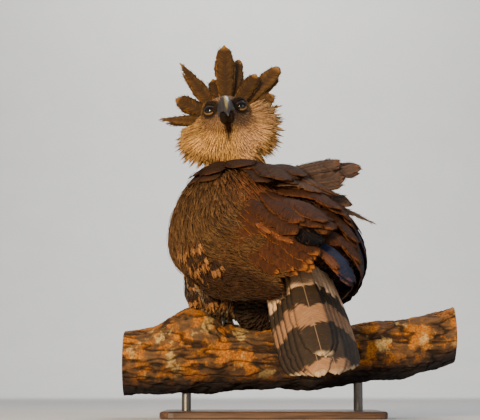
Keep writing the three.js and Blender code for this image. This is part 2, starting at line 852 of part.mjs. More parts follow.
function lowerBill(grow) {
  const grown = LOWER_BILL.map(([ridgeAhead, ridge, edgeAhead, edge, half]) => [
    ridgeAhead,
    ridge - grow,
    edgeAhead,
    edge + grow,
    half + grow,
  ]);
  return loft(billRings(grown));
}

// The hollow in the head that holds both halves, without a sheet left between them
function billSocket() {
  const [upper, lower] = [profile(UPPER_BILL), profile(LOWER_BILL)];
  const rings = [42 - GAP, 58, 72, 84].map((ahead) => {
    const [ridge, , mouth, half] = upper(ahead);
    const [bottom, , , lowerHalf] = lower(ahead);
    return Array.from({ length: 2 * BILL_SIDES }, (_, j) => {
      const angle = PI * (j / BILL_SIDES - 0.5);
      const reach = cos(angle) > 0 ? ridge + GAP - mouth : mouth - bottom + GAP;
      return headAxes.at((max(half, lowerHalf) + GAP) * sin(angle), ahead, mouth + reach * cos(angle));
    });
  });
  return loft(rings);
}

// Legs: feathered thighs under the belly, scaled feet that grip the limb, and claws

const LEGS = {
  left: { hip: vec(-112, 2, 285), knee: vec(-110, 2, 244), ankle: vec(-92, 28, 190), foot: vec(-90, 32, 176), turn: 4 },
  right: { hip: vec(40, 30, 285), knee: vec(44, 24, 244), ankle: vec(38, 34, 190), foot: vec(40, 34, 174), turn: -4 },
};
const TOES = [
  { name: "inner", spread: -25, length: 62, radius: 11.5, claw: 44 },
  { name: "middle", spread: 0, length: 72, radius: 11.5, claw: 38 },
  { name: "outer", spread: 26, length: 58, radius: 10.5, claw: 34 },
  { name: "rear", spread: 180, length: 46, radius: 12, claw: 40 },
];

function thighSolid(leg) {
  const shin = leg.ankle.clone().lerp(leg.knee, 0.45);
  return tube([leg.hip, leg.knee, shin, leg.ankle], [60, 64, 46, 27], 14);
}

// The limb's middle line and thickness at a place along X
const limbLine = profile([
  [-300, 104, 62],
  [-140, 109, 61],
  [0, 113, LIMB_RADIUS],
  [130, 121, 57],
  [250, 133, 56],
  [360, 162, 53],
]);

// Where a toe lies: it runs over the limb's back from the foot, turned by spread, and wraps down as the limb curves
function toePath(leg, toe, from, to, steps, rise) {
  const [lineZ, radius] = limbLine(leg.foot.x);
  const heading = (toe.spread + leg.turn) * DEGREE;
  const reach = radius + rise;
  const start = Math.asin(leg.foot.y / reach);
  return Array.from({ length: steps + 1 }, (_, i) => {
    const run = from + ((to - from) * i) / steps;
    const wrap = start + (run * cos(heading)) / reach;
    return vec(leg.foot.x + run * sin(heading), reach * sin(wrap), lineZ + reach * cos(wrap));
  });
}

function toeSolid(leg, toe, grow) {
  const path = toePath(leg, toe, 0, toe.length, 4, toe.radius - 1.5);
  const shape = [1.1, 0.9, 1, 0.84, 0.62];
  return tube(
    path,
    shape.map((share) => toe.radius * share + grow),
    6,
  );
}

function footSolid(leg, grow) {
  const shank = tube([leg.ankle.clone().add(vec(0, -4, 24)), leg.ankle, leg.foot], [15 + grow, 16 + grow, 18 + grow], 8);
  return joined([shank, ...TOES.map((toe) => toeSolid(leg, toe, grow))]);
}

// A claw: a curved cone that leaves the toe's end and bends down into the bark's side
function clawSolid(leg, toe, grow) {
  const base = toePath(leg, toe, toe.length - 7, toe.length + 8, 2, toe.radius - 1);
  const way = base[2].clone().sub(base[0]).normalize();
  const outward = base[1].clone().sub(vec(base[1].x, 0, limbLine(base[1].x)[0])).normalize();
  const steps = 4;
  const path = Array.from({ length: steps + 1 }, (_, i) => {
    const t = i / steps;
    const bend = 1.5 * t;
    return base[0]
      .clone()
      .addScaledVector(way, toe.claw * sin(bend) * 0.72)
      .addScaledVector(outward, toe.claw * (0.26 * sin(PI * t) - 0.16 * t * t));
  });
  const shape = [1, 0.94, 0.74, 0.45, 0.1];
  return tube(
    path,
    shape.map((share) => toe.radius * 0.66 * share + grow),
    5,
  );
}

// Limb: a cut length of branch with a swollen knot on its left and lumps in the bark

const KNOTS = [
  { x: -142, angle: 8, rise: 42, wide: 46, round: 50 },
  { x: -196, angle: 30, rise: 16, wide: 40, round: 46 },
  { x: -60, angle: -40, rise: 7, wide: 44, round: 40 },
  { x: 236, angle: 60, rise: 5, wide: 38, round: 44 },
  { x: 90, angle: 190, rise: 5, wide: 52, round: 60 },
];
const LIMB_SIDES = 16;
const LIMB_STEP = 31;

// Rise of the bark over the limb's own radius. angle is in degrees from the top, towards the viewer.
function barkRise(x, angle) {
  let rise = 1.4 * sin(x * 0.07 + angle * 0.09) + 1.2 * sin(x * 0.031 - angle * 0.05 + 2);
  KNOTS.forEach((knot) => {
    const turn = ((((angle - knot.angle + 180) % 360) + 360) % 360) - 180;
    rise += knot.rise * Math.exp(-(((x - knot.x) / knot.wide) ** 2) - (turn / knot.round) ** 2);
  });
  return rise;
}

function limbSolid(grow) {
  const rings = [];
  const count = Math.round((LIMB_RIGHT - LIMB_LEFT) / LIMB_STEP);
  for (let i = 0; i <= count; i += 1) {
    const end = i === 0 ? -grow : i === count ? grow : 0;
    const x = LIMB_LEFT + ((LIMB_RIGHT - LIMB_LEFT) * i) / count;
    const [lineZ, radius] = limbLine(x);
    rings.push(
      Array.from({ length: LIMB_SIDES }, (_, j) => {
        const angle = (360 * j) / LIMB_SIDES;
        const reach = radius + barkRise(x, angle) + grow;
        return vec(x + end, -reach * sin(angle * DEGREE), lineZ + reach * cos(angle * DEGREE));
      }),
    );
  }
  return loft(rings);
}

// Stand: a flat base and two short rods

function baseSolid() {
  const { x, y, thick, corner, bevel } = BASE_SIZE;
  const [a, b] = [x / 2 - bevel, y / 2 - bevel];
  const outline = new THREE.Shape();
  outline.moveTo(-a + corner, -b);
  outline.lineTo(a - corner, -b);
  outline.absarc(a - corner, -b + corner, corner, -PI / 2, 0);
  outline.lineTo(a, b - corner);
  outline.absarc(a - corner, b - corner, corner, 0, PI / 2);
  outline.lineTo(-a + corner, b);
  outline.absarc(-a + corner, b - corner, corner, PI / 2, PI);
  outline.lineTo(-a, -b + corner);
  outline.absarc(-a + corner, -b + corner, corner, PI, 1.5 * PI);
  const plate = new THREE.ExtrudeGeometry(outline, {
    depth: thick - 2 * bevel,
    bevelThickness: bevel,
    bevelSize: bevel,
    bevelSegments: 1,
    curveSegments: 2,
  });
  return solidOf(plate.translate(0, 0, bevel));
}

function rodSolid(x) {
  const foot = BASE_SIZE.thick + GAP;
  const top = limbLine(x)[0];
  const rod = new THREE.CylinderGeometry(ROD_RADIUS, ROD_RADIUS, top - foot, 18);
  return solidOf(rod.rotateX(PI / 2).translate(x, 0, (top + foot) / 2));
}

// Assembly

// A node's mesh, with its geometry round its own pivot and the pivot as its position
function node(name, solid, look, pivot) {
  const geometry = geometryOf(solid).translate(-pivot.x, -pivot.y, -pivot.z);
  const made = new THREE.Mesh(geometry, new THREE.MeshStandardMaterial(look));
  made.name = name;
  made.position.copy(pivot);
  return made;
}

function group(...members) {
  const made = new THREE.Group();
  made.add(...members);
  return made;
}

const limb = limbSolid(0);
const limbGrown = limbSolid(GAP);
const torso = clearOf(torsoSolid(0), limbGrown);
const torsoGrown = torsoSolid(GAP);
const head = clearOf(headSolid(0), billSocket(), torsoGrown);
const headGrown = headSolid(GAP);
const neck = clearOf(neckSolid(0), torsoGrown, headGrown);
const tail = clearOf(tailSolid(0), torsoGrown);
const tailGrown = tailSolid(GAP);
const leftWing = clearOf(wingSolid(-1, 0), torsoGrown, tailGrown, neckSolid(GAP), headGrown);
const rightWing = clearOf(
  wingSolid(1, 0),
  torsoGrown,
  tailGrown,
  wingSolid(-1, GAP),
  neckSolid(GAP),
  headGrown,
);

function legNodes(name, leg) {
  const thigh = clearOf(
    thighSolid(leg),
    torsoGrown,
    wingSolid(leg === LEGS.left ? -1 : 1, GAP),
    footSolid(leg, GAP),
    clawSolid(leg, TOES.at(-1), GAP),
    limbGrown,
  );
  const foot = clearOf(footSolid(leg, 0), limbGrown, torsoGrown);
  const claws = TOES.map((toe) =>
    node(
      `claw_${name}_${toe.name}`,
      clearOf(clawSolid(leg, toe, 0), footSolid(leg, GAP), limbGrown),
      COLOURS.claw,
      leg.foot,
    ),
  );
  return [
    node(`thigh_${name}`, thigh, COLOURS.thigh, leg.ankle),
    node(`foot_${name}`, foot, COLOURS.foot, leg.foot),
    ...claws,
  ];
}

const cere = clearOf(upperBill(0), nostril(-1), nostril(1));
const jaw = clearOf(lowerBill(0), upperBill(MOUTH_GAP));

const bird = group(
  group(
    node("head", head, COLOURS.head, HEAD_CENTRE),
    node("eye_left", eyeBall(-1, EYE_RADIUS), COLOURS.eye, HEAD_CENTRE),
    node("eye_right", eyeBall(1, EYE_RADIUS), COLOURS.eye, HEAD_CENTRE),
    node("bill_upper", cere, COLOURS.bill, HEAD_CENTRE),
    node("bill_lower", jaw, COLOURS.bill, HEAD_CENTRE),
  ),
  node("neck", neck, COLOURS.head, bodyAxes.at(0, 150, 60)),
  node("torso", torso, COLOURS.plumage, BODY_CENTRE),
  node("wing_left", leftWing, COLOURS.plumage, BODY_CENTRE),
  node("wing_right", rightWing, COLOURS.plumage, BODY_CENTRE),
  node("tail", tail, COLOURS.tail, TAIL_ROOT),
  group(...legNodes("left", LEGS.left)),
  group(...legNodes("right", LEGS.right)),
);

const stand = group(
  node("stand_base", baseSolid(), COLOURS.stand, vec(0, 0, 0)),
  ...Object.entries(ROD_PLACES).map(([name, x]) =>
    node(`stand_rod_${name}`, clearOf(rodSolid(x), limbGrown), COLOURS.rod, vec(x, 0, BASE_SIZE.thick)),
  ),
);

export default group(bird, node("perch", limb, COLOURS.bark, vec(0, 0, LIMB_RADIUS)), stand);
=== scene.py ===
# The looks of a life-size harpy eagle that stands on a cut length of limb, built round the frame's solids.
# Shapes are worked out in millimetres, in the frame's axes, and made into meshes in metres: +Z up, +X to the
# viewer's right, +Y away from the viewer. The bird faces +Y and a little left, with its head turned right
# round to look back. Places on the body are given by f, ahead of its centre, and by an angle from the back's
# middle to the bird's right.
from math import asin, ceil, cos, pi, sin, sqrt

import bmesh
import bpy
import numpy as np
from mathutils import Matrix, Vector
from mathutils.bvhtree import BVHTree
from mathutils.kdtree import KDTree


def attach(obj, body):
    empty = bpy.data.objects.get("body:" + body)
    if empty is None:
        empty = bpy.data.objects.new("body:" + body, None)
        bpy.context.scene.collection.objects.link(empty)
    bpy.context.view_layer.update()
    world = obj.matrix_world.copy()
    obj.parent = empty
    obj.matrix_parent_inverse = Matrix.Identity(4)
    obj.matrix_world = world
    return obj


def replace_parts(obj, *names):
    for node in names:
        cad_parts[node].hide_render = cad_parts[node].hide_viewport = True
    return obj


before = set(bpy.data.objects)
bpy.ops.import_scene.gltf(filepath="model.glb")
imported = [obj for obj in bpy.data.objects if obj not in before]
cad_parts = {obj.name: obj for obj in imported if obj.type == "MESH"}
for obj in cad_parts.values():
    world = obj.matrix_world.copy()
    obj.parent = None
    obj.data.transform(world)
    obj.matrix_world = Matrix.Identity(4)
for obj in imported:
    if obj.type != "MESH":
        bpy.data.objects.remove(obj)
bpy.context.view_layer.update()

MM = 0.001
DEGREE = pi / 180
TURN = 2 * pi

# Driving dimensions, the same as the solids'
BODY_CENTRE = (-20, 10, 341)
BODY_PITCH = 33 * DEGREE
BODY_YAW = 24 * DEGREE
HEAD_CENTRE = (-90, 72, 594)
HEAD_PITCH = 12 * DEGREE
HEAD_ROLL = 8.5 * DEGREE
EYE_RADIUS = 13
EYE_PLACE = {"side": 29, "ahead": 34, "up": 7}
TAIL_LENGTH = 370
TAIL_DROOP = 42 * DEGREE
TAIL_YAW = 12 * DEGREE
TAIL_ROLL = 12 * DEGREE
TAIL_ROOT = (35, -128, 327)
COAT_DEPTH = 6  # how far the skin lies under the feathers' outer surface

# Camera
CAMERA_PLACE = (-62, -3000, 60)
CAMERA_TILT = 6.5 * DEGREE
CAMERA_LENS = 116.2


def vec(*values):
    return np.array(values, float)


def unit(v):
    return v / np.maximum(np.linalg.norm(v, axis=-1, keepdims=True), 1e-9)


def dot(a, b):
    return (a * b).sum(-1)


def smooth(low, high, x):
    """0 below low, 1 above high and smooth between them"""
    t = np.clip((np.asarray(x, float) - low) / (high - low), 0, 1)
    return t * t * (3 - 2 * t)


def bump(x, middle, width):
    return np.exp(-(((x - middle) / width) ** 2))


def mix(a, b, t):
    return a + (b - a) * np.asarray(t)[..., None]


def stacked(*parts):
    """Arrays, spread to one shape, as the last axis of one array"""
    return np.stack(np.broadcast_arrays(*parts), -1)


def turns(count):
    """Even angles once round"""
    return TURN * np.arange(count) / count


class Axes:
    """Axes at a place: right, ahead and up, and the way between their numbers and the frame's"""

    def __init__(self, origin, ahead, right):
        self.origin = vec(*origin)
        self.ahead = unit(vec(*ahead))
        self.right = unit(vec(*right))
        self.up = unit(np.cross(self.right, self.ahead))

    def way(self, right, ahead, up):
        right, ahead, up = [np.asarray(x, float)[..., None] for x in (right, ahead, up)]
        return right * self.right + ahead * self.ahead + up * self.up

    def at(self, right, ahead, up):
        return self.way(right, ahead, up) + self.origin

    def of(self, points):
        """right, ahead and up of points"""
        rel = points - self.origin
        return dot(rel, self.right), dot(rel, self.ahead), dot(rel, self.up)


def turned(v, axis, angle):
    return v * cos(angle) + np.cross(axis, v) * sin(angle) + axis * dot(axis, v) * (1 - cos(angle))


body_axes = Axes(
    BODY_CENTRE,
    (-cos(BODY_PITCH) * sin(BODY_YAW), cos(BODY_PITCH) * cos(BODY_YAW), sin(BODY_PITCH)),
    (cos(BODY_YAW), sin(BODY_YAW), 0),
)
head_axes = Axes(
    HEAD_CENTRE,
    (0, -cos(HEAD_PITCH), sin(HEAD_PITCH)),
    (-cos(HEAD_ROLL), -sin(HEAD_PITCH) * sin(HEAD_ROLL), -cos(HEAD_PITCH) * sin(HEAD_ROLL)),
)
tail_ahead = vec(cos(TAIL_DROOP) * sin(TAIL_YAW), -cos(TAIL_DROOP) * cos(TAIL_YAW), -sin(TAIL_DROOP))
tail_right = turned(vec(-cos(TAIL_YAW), -sin(TAIL_YAW), 0), tail_ahead, TAIL_ROLL)
tail_axes = Axes(TAIL_ROOT, tail_ahead, tail_right)


def profile(stations):
    """Smooth curve through stations (x, value, value, ...), straight past its ends"""
    table = np.array(stations, float)
    x, y = table[:, 0], table[:, 1:]
    steps = np.diff(y, axis=0) / np.diff(x)[:, None]
    slopes = np.concatenate([steps[:1], (y[2:] - y[:-2]) / (x[2:] - x[:-2])[:, None], steps[-1:]])

    def at(place):
        place = np.asarray(place, float)
        i = np.clip(np.searchsorted(x, place, side="right") - 1, 0, len(x) - 2)
        span = (x[i + 1] - x[i])[..., None]
        t = (place - x[i])[..., None] / span
        inside = np.clip(t, 0, 1)
        t2, t3 = inside**2, inside**3
        value = (2 * t3 - 3 * t2 + 1) * y[i] + (t3 - 2 * t2 + inside) * slopes[i] * span
        value = value + (3 * t2 - 2 * t3) * y[i + 1]
        value = value + (t3 - t2) * slopes[i + 1] * span
        past = np.where(t < 0, t * slopes[i], np.where(t > 1, (t - 1) * slopes[i + 1], 0))
        return np.moveaxis(value + past * span, -1, 0)

    return at


# Sections of the bird: place ahead of the centre, half width, height of the back, depth of the belly
torso_section = profile([
    (-186, 36, 96, 28), (-140, 80, 110, -44), (-80, 118, 119, -100), (-10, 142, 122, -132),
    (60, 146, 122, -130), (122, 122, 112, -100), (165, 86, 96, -52), (184, 52, 78, -14),
])
wing_section = profile([
    (-290, 56, 100, 30), (-220, 104, 116, -34), (-150, 148, 128, -92), (-80, 176, 135, -132),
    (-10, 184, 138, -154), (60, 176, 138, -150), (135, 132, 122, -100), (176, 74, 96, -40),
])
skull_section = profile([
    (-62, 14, 10, -18), (-48, 36, 32, -34), (-20, 49, 43, -46), (10, 51, 45, -46),
    (34, 41, 37, -36), (50, 25, 22, -26), (58, 16, 13, -20),
])
# The angles between which the folded wing covers the body
wing_edges = profile([
    (-172, 22, 112), (-100, 15, 120), (-20, 13, 120), (50, 13, 118), (112, 20, 106), (152, 40, 80),
])
SQUARENESS = 0.92


def rounded(value, power):
    return np.sign(value) * np.abs(value) ** power


def section_point(section, f, angle):
    half, top, bottom = section(f)
    side = half * rounded(np.sin(angle), SQUARENESS)
    height = (top + bottom) / 2 + (top - bottom) / 2 * rounded(np.cos(angle), SQUARENESS)
    return body_axes.at(side, f, height)


def wing_share(f, angle):
    """1 where the folded wing covers the body, and 0 where it doesn't"""
    upper, lower = wing_edges(np.clip(f, -172, 152))
    degrees = np.abs((angle / DEGREE + 180) % 360 - 180)
    across = smooth(upper - 14, upper + 12, degrees) * (1 - smooth(lower - 14, lower + 12, degrees))
    return across * (smooth(-230, -150, f) * (1 - smooth(140, 180, f)))


def body_point(f, angle):
    f, angle = np.broadcast_arrays(np.asarray(f, float), np.asarray(angle, float))
    torso = section_point(torso_section, f, angle)
    return mix(torso, section_point(wing_section, f, angle), wing_share(f, angle))


def frame_at(place, f, angle):
    """A surface's points, its ways out, and the steps to the rear and round it"""
    point = place(f, angle)
    rear = place(f - 1, angle) - point
    step = 0.02
    around = (place(f, angle + step) - place(f, angle - step)) / (2 * step)
    out = unit(np.cross(rear, around))
    flip = np.sign(dot(out, point - body_axes.at(0 * f, f, 0 * f)))[..., None]
    return point, out * np.where(flip == 0, 1, flip), rear, around


def torso_point(f, angle):
    return section_point(torso_section, f, angle)


def wing_point(f, angle):
    return section_point(wing_section, f, angle)


# Meshes


def mesh_of(name, points, loops, starts, slot=None):
    mesh = bpy.data.meshes.new(name)
    mesh.vertices.add(len(points))
    mesh.vertices.foreach_set("co", (points * MM).astype(np.float32).ravel())
    mesh.loops.add(len(loops))
    mesh.loops.foreach_set("vertex_index", loops.astype(np.int32))
    mesh.polygons.add(len(starts))
    mesh.polygons.foreach_set("loop_start", starts.astype(np.int32))
    mesh.update(calc_edges=True)
    mesh.validate()
    piece = bpy.data.objects.new(name, mesh)
    bpy.context.scene.collection.objects.link(piece)
    if slot:
        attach(piece, "root")
    return piece


def turned_out(piece):
    """The piece, with its faces turned to look out"""
    shape = bmesh.new()
    shape.from_mesh(piece.data)
    bmesh.ops.recalc_face_normals(shape, faces=shape.faces)
    shape.to_mesh(piece.data)
    shape.free()
    return piece


def finished(piece, material, bake_places=None, **attributes):
    """Gives a piece smooth shading, attributes, the map that finishes are baked on, and its material"""
    mesh = piece.data
    mesh.polygons.foreach_set("use_smooth", np.ones(len(mesh.polygons), bool))
    mesh.update()
    for name, values in attributes.items():
        kind, field = ("FLOAT_COLOR", "color") if name == "tint" else ("FLOAT_VECTOR", "vector")
        values = np.asarray(values, np.float32).reshape(-1, 3)
        if name == "tint":
            values = np.concatenate([values, np.ones((len(values), 1), np.float32)], axis=1)
        mesh.attributes.new(name, kind, "POINT").data.foreach_set(field, values.ravel())
    if bake_places is not None:
        layer = mesh.uv_layers.new(name="OFBake")
        loops = np.empty(len(mesh.loops), np.int32)
        mesh.loops.foreach_get("vertex_index", loops)
        layer.data.foreach_set("uv", np.clip(bake_places, 0.001, 0.999)[loops].astype(np.float32).ravel())
    mesh.materials.append(material)
    return piece


def grid_faces(rows, columns, closed_rows=False, closed_columns=False):
    """Faces of a grid of points, as loops and starts"""
    i = np.arange(rows if closed_rows else rows - 1)
    j = np.arange(columns if closed_columns else columns - 1)
    i, j = [x.ravel() for x in np.meshgrid(i, j, indexing="ij")]
    i2, j2 = (i + 1) % rows, (j + 1) % columns
    quads = np.stack([i * columns + j, i * columns + j2, i2 * columns + j2, i2 * columns + j], axis=1)
    return quads.ravel(), np.arange(len(quads)) * 4


def tube_faces(batches):
    """Faces of closed tubes, as loops and starts, for batches of (tubes, rings, sides)"""
    loops, starts, offset, filled = [], [], 0, 0
    for tubes, rings, sides in batches:
        walls, _ = grid_faces(rings, sides, closed_columns=True)
        ends = np.concatenate([np.arange(sides)[::-1], (rings - 1) * sides + np.arange(sides)])
        first = offset + np.arange(tubes)[:, None] * (rings * sides)
        for faces, corners in ((walls, 4), (ends, sides)):
            loops.append((faces + first).ravel())
            starts.append(filled + np.arange(len(loops[-1]) // corners) * corners)
            filled += len(loops[-1])
        offset += tubes * rings * sides
    return np.concatenate(loops), np.concatenate(starts)


def tubes(name, parts, slot):
    """One piece of closed tubes, each given by rings of points, shape (rings, sides, 3)"""
    points = np.concatenate([rings.reshape(-1, 3) for rings in parts])
    return mesh_of(name, points, *tube_faces([(1, *rings.shape[:2]) for rings in parts]), slot)


def ring_map(rows, columns):
    i, j = np.meshgrid(np.arange(rows) / (rows - 1), np.arange(columns) / columns, indexing="ij")
    return stacked(0.02 + 0.96 * j, 0.02 + 0.96 * i).reshape(-1, 2)


def round_rings(path, radii, sides, squash=1.0, across=None):
    """Rings round a path, with a radius at each point"""
    path = np.asarray(path, float)
    way = unit(np.gradient(path, axis=0))
    if across is None:
        across = vec(1, 0, 0) if abs(way[0, 2]) > 0.9 else vec(0, 0, 1)
    u = unit(np.cross(across, way))
    v = unit(np.cross(way, u))
    angle = turns(sides)[None, :, None]
    radii = np.asarray(radii, float)[:, None, None]
    rings = path[:, None] + u[:, None] * (np.cos(angle) * radii)
    return rings + v[:, None] * (np.sin(angle) * radii * squash)


# Vanes: thin closed blades, all of a piece made at once

BAKE_PATCH = 0.003


class Vanes:
    """Blades of one section, gathered into one piece. A batch has spines (count, stations, 3), ways up of the
    same shape, half widths (count, stations) or (count, stations, 2), thicknesses, and a tint and marks for
    each blade: how much its rim and its middle show, and its own random number."""

    def __init__(self, sides):
        u = np.linspace(-1, 1, sides // 2 + 1)
        level = np.ones(sides // 2 - 1)
        self.sides = sides
        self.u = np.concatenate([u, u[-2:0:-1]])
        self.level = np.concatenate([[0], level, [0], -level])
        self.batches = []

    def add(self, spine, up, half, thick, tint, marks, camber=0.1, drags=None):
        blades = spine, up, half, tint, marks
        way = unit(np.gradient(spine, axis=1))
        across = unit(np.cross(way, up))
        up = np.cross(across, way)
        u = self.u
        reach = half[..., None] if half.ndim == 2 else np.where(u < 0, half[..., :1], half[..., 1:])
        thick = np.broadcast_to(thick, spine.shape[:2])[..., None]
        rise = self.level * np.sqrt(np.clip(1 - u**2 * 0.92, 0, 1)) * thick / 2 - camber * reach * u**2
        points = spine[:, :, None] + across[:, :, None] * (u * reach)[..., None]
        points = points + up[:, :, None] * rise[..., None]
        if drags is not None:
            points = points + way[:, :, None] * drags[..., None]
        steps = np.linalg.norm(np.diff(spine, axis=1), axis=-1)
        run = np.concatenate([np.zeros((len(spine), 1)), np.cumsum(steps, axis=1)], axis=1)[..., None]
        tint, marks, root = [x[:, None, None] for x in (tint, marks, spine[:, 0])]
        fields = {"points": points, "tint": tint, "marks": marks, "root": root}
        fields["span"] = stacked(u, run / run[:, -1:], 0.0)
        fields["place"] = stacked(u * reach, run, marks[..., 2] * 977)
        self.batches.append({k: np.broadcast_to(v, points.shape) for k, v in fields.items()})
        return blades

    def make(self, name, slot, material, atlas=False):
        flat = {k: np.concatenate([b[k].reshape(-1, 3) for b in self.batches]) for k in self.batches[0]}
        faces = tube_faces([b["points"].shape[:3] for b in self.batches])
        piece = mesh_of(name, flat["points"], *faces, slot)
        patch = flat["span"][:, :2] * vec(0.5, 1) + vec(0.5, 0)
        places = self.atlas_places() if atlas else bake_place(flat["root"]) + (patch - 0.5) * BAKE_PATCH
        return finished(piece, material, places, **{k: flat[k] for k in ("tint", "marks", "span", "place")})

    def atlas_places(self):
        """A place of its own for each blade on the bake map, in a grid"""
        total = sum(len(b["points"]) for b in self.batches)
        columns = ceil(sqrt(total * 3))
        rows = ceil(total / columns)
        places, number = [], 0
        for batch in self.batches:
            index = number + np.arange(len(batch["points"]))
            corner = stacked(index % columns, index // columns)[:, None, None]
            local = batch["span"][..., :2] * vec(0.42, 0.9) + vec(0.5, 0.05)
            places.append(((corner + local) / vec(columns, rows)).reshape(-1, 2))
            number += len(index)
        return np.concatenate(places)


# Noise


def lattice_noise(points, seed):
    """Smooth noise from -1 to 1 over points in 3-D, one unit to a cell"""
    cell = np.floor(points).astype(np.int64)
    local = points - cell
    ease = local * local * local * (local * (local * 6 - 15) + 10)
    total = np.zeros(points.shape[:-1])
    for corner in range(8):
        offset = np.array([corner & 1, (corner >> 1) & 1, corner >> 2])
        key = ((cell + offset) * (374761393, 668265263, 2147483647)).sum(-1) + seed * 974634777
        key = (key ^ (key >> 13)) * 1274126177
        value = ((key ^ (key >> 16)) & 0xFFFF) / 32767.5 - 1
        total += value * np.where(offset, ease, 1 - ease).prod(-1)
    return total


def noise(points, size, seed, octaves=1):
    """Layered noise whose largest forms are size millimetres across"""
    total, strength, reach = 0, 1.0, 0.0
    for octave in range(octaves):
        total = total + strength * lattice_noise(points / size * 2**octave, seed + octave * 17)
        reach += strength
        strength *= 0.5
    return total / reach


# Skin: one closed surface over body, neck, head and thighs

BODY, NECK, HEAD, THIGH = range(4)
SKIN_VOXEL = 4.5 * MM
CHEEKS = {"centre": (0, -8, -32), "size": (79, 29, 59)}
# The down between the legs, which hangs to the limb
BELLY_DOWN = {"centre": (-11, -75, -105), "size": (52, 54, 44)}
LEGS = {
    "left": {
        "hip": (-112, 2, 285), "knee": (-110, 2, 244), "ankle": (-92, 28, 190),
        "foot": (-90, 32, 176), "turn": 4,
    },
    "right": {
        "hip": (40, 30, 285), "knee": (44, 24, 244), "ankle": (38, 34, 190),
        "foot": (40, 34, 174), "turn": -4,
    },
}


def curve_through(points, count):
    curve = profile([(i, *p) for i, p in enumerate(points)])
    return curve(np.linspace(0, len(points) - 1, count)).T


def spread_out(values, count):
    """Values at count even places between those given"""
    return np.interp(np.linspace(0, len(values) - 1, count), range(len(values)), values)


def tube_along(points, radii, count, sides):
    return round_rings(curve_through(points, count), spread_out(radii, count), sides)


def skull_rings(inset=3.0):
    ahead = np.linspace(-62, 58, 40)[:, None]
    half, top, bottom = skull_section(ahead)
    height = (top + bottom) / 2 + ((top - bottom) / 2 - inset) * np.cos(turns(48))
    return head_axes.at((half - inset) * np.sin(turns(48)), ahead, height)


def ellipsoid_rings(axes, centre, size, rings=28, sides=44):
    turn = (pi * (np.arange(rings) + 0.5) / rings)[:, None]
    return axes.at(
        centre[0] + size[0] * np.sin(turn) * np.cos(turns(sides)),
        centre[1] + size[1] * np.sin(turn) * np.sin(turns(sides)),
        centre[2] - size[2] * np.cos(turn),
    )


def skin_parts():
    """The label and the rings of each closed form that the skin covers"""
    f, angle = np.broadcast_arrays(np.linspace(-186, 184, 44)[:, None], turns(72))
    point, out, _, _ = frame_at(body_point, f, angle)
    yield BODY, point - out * COAT_DEPTH
    neck = [body_axes.at(0, 126, 40), body_axes.at(0, 150, 82)]
    neck += [head_axes.at(0, -38, -66), head_axes.at(0, -28, -38)]
    yield NECK, tube_along(neck, (31, 43, 43, 40, 37, 33), 24, 36)
    yield HEAD, skull_rings()
    yield HEAD, ellipsoid_rings(head_axes, **CHEEKS)
    for side in (-1, 1):
        brow = [(side * 14, 50, 16), (side * 25, 45, 22), (side * 38, 32, 23), (side * 46, 14, 15)]
        yield HEAD, tube_along([head_axes.at(*p) for p in brow], (3, 5, 5.5, 3), 16, 14)
    for leg in LEGS.values():
        hip, knee, ankle = vec(*leg["hip"]), vec(*leg["knee"]), vec(*leg["ankle"])
        yield THIGH, tube_along([hip, knee, ankle + (knee - ankle) * 0.45, ankle], (56, 59, 41, 22), 18, 36)
    yield BODY, ellipsoid_rings(body_axes, **BELLY_DOWN)


class Skin:
    """The skin and its points for lookups: what part a place is on, and the nearest place on it"""

    def __init__(self):
        labels, parts = zip(*skin_parts())
        self.piece = tubes("skin", parts, "body_feathers")
        self.settle()
        mesh = self.piece.data
        self.points = np.empty(len(mesh.vertices) * 3, np.float32)
        mesh.vertices.foreach_get("co", self.points)
        self.points = self.points.reshape(-1, 3).astype(float) / MM
        mesh.calc_loop_triangles()
        self.triangles = np.empty(len(mesh.loop_triangles) * 3, np.int32)
        mesh.loop_triangles.foreach_get("vertices", self.triangles)
        self.triangles = self.triangles.reshape(-1, 3)
        first, second, third = np.moveaxis(self.points[self.triangles], 1, 0)
        cross = np.cross(second - first, third - first)
        self.areas = np.linalg.norm(cross, axis=1) / 2
        normals = np.zeros_like(self.points)
        for k in range(3):
            np.add.at(normals, self.triangles[:, k], cross)
        self.face_normals = unit(unit(normals)[self.triangles].sum(1))
        self.tree = BVHTree.FromPolygons(self.points.tolist(), self.triangles.tolist())
        rough = np.concatenate([rings.reshape(-1, 3) for rings in parts])[::3]
        finder = KDTree(len(rough))
        for i, point in enumerate(rough):
            finder.insert(point, i)
        finder.balance()
        near = [finder.find(p)[1] for p in self.points.tolist()]
        self.labels = np.repeat(labels, [rings.size // 3 for rings in parts])[::3][near]

    def settle(self):
        """Joins the forms into one relaxed surface"""
        piece = self.piece
        remesh = piece.modifiers.new("remesh", "REMESH")
        remesh.mode = "VOXEL"
        remesh.voxel_size = SKIN_VOXEL
        relax = piece.modifiers.new("relax", "SMOOTH")
        relax.factor = 0.5
        relax.iterations = 5
        graph = bpy.context.evaluated_depsgraph_get()
        settled = bpy.data.meshes.new_from_object(piece.evaluated_get(graph), preserve_all_data_layers=False)
        piece.modifiers.clear()
        old = piece.data
        piece.data = settled
        bpy.data.meshes.remove(old)
        settled.name = "skin"

    def sample(self, count, seed):
        draw = np.random.default_rng(seed)
        face = draw.choice(len(self.areas), count, p=self.areas / self.areas.sum())
        a, b = draw.random((2, count))
        flip = a + b > 1
        a, b = np.where(flip, 1 - a, a)[:, None], np.where(flip, 1 - b, b)[:, None]
        first, second, third = np.moveaxis(self.points[self.triangles[face]], 1, 0)
        point = first + (second - first) * a + (third - first) * b
        return point, self.face_normals[face], self.labels[self.triangles[face, 0]]

    def nearest(self, points):
        places, _, faces, _ = zip(*[self.tree.find_nearest(p) for p in points.tolist()])
        return np.array(places), self.face_normals[np.array(faces)]


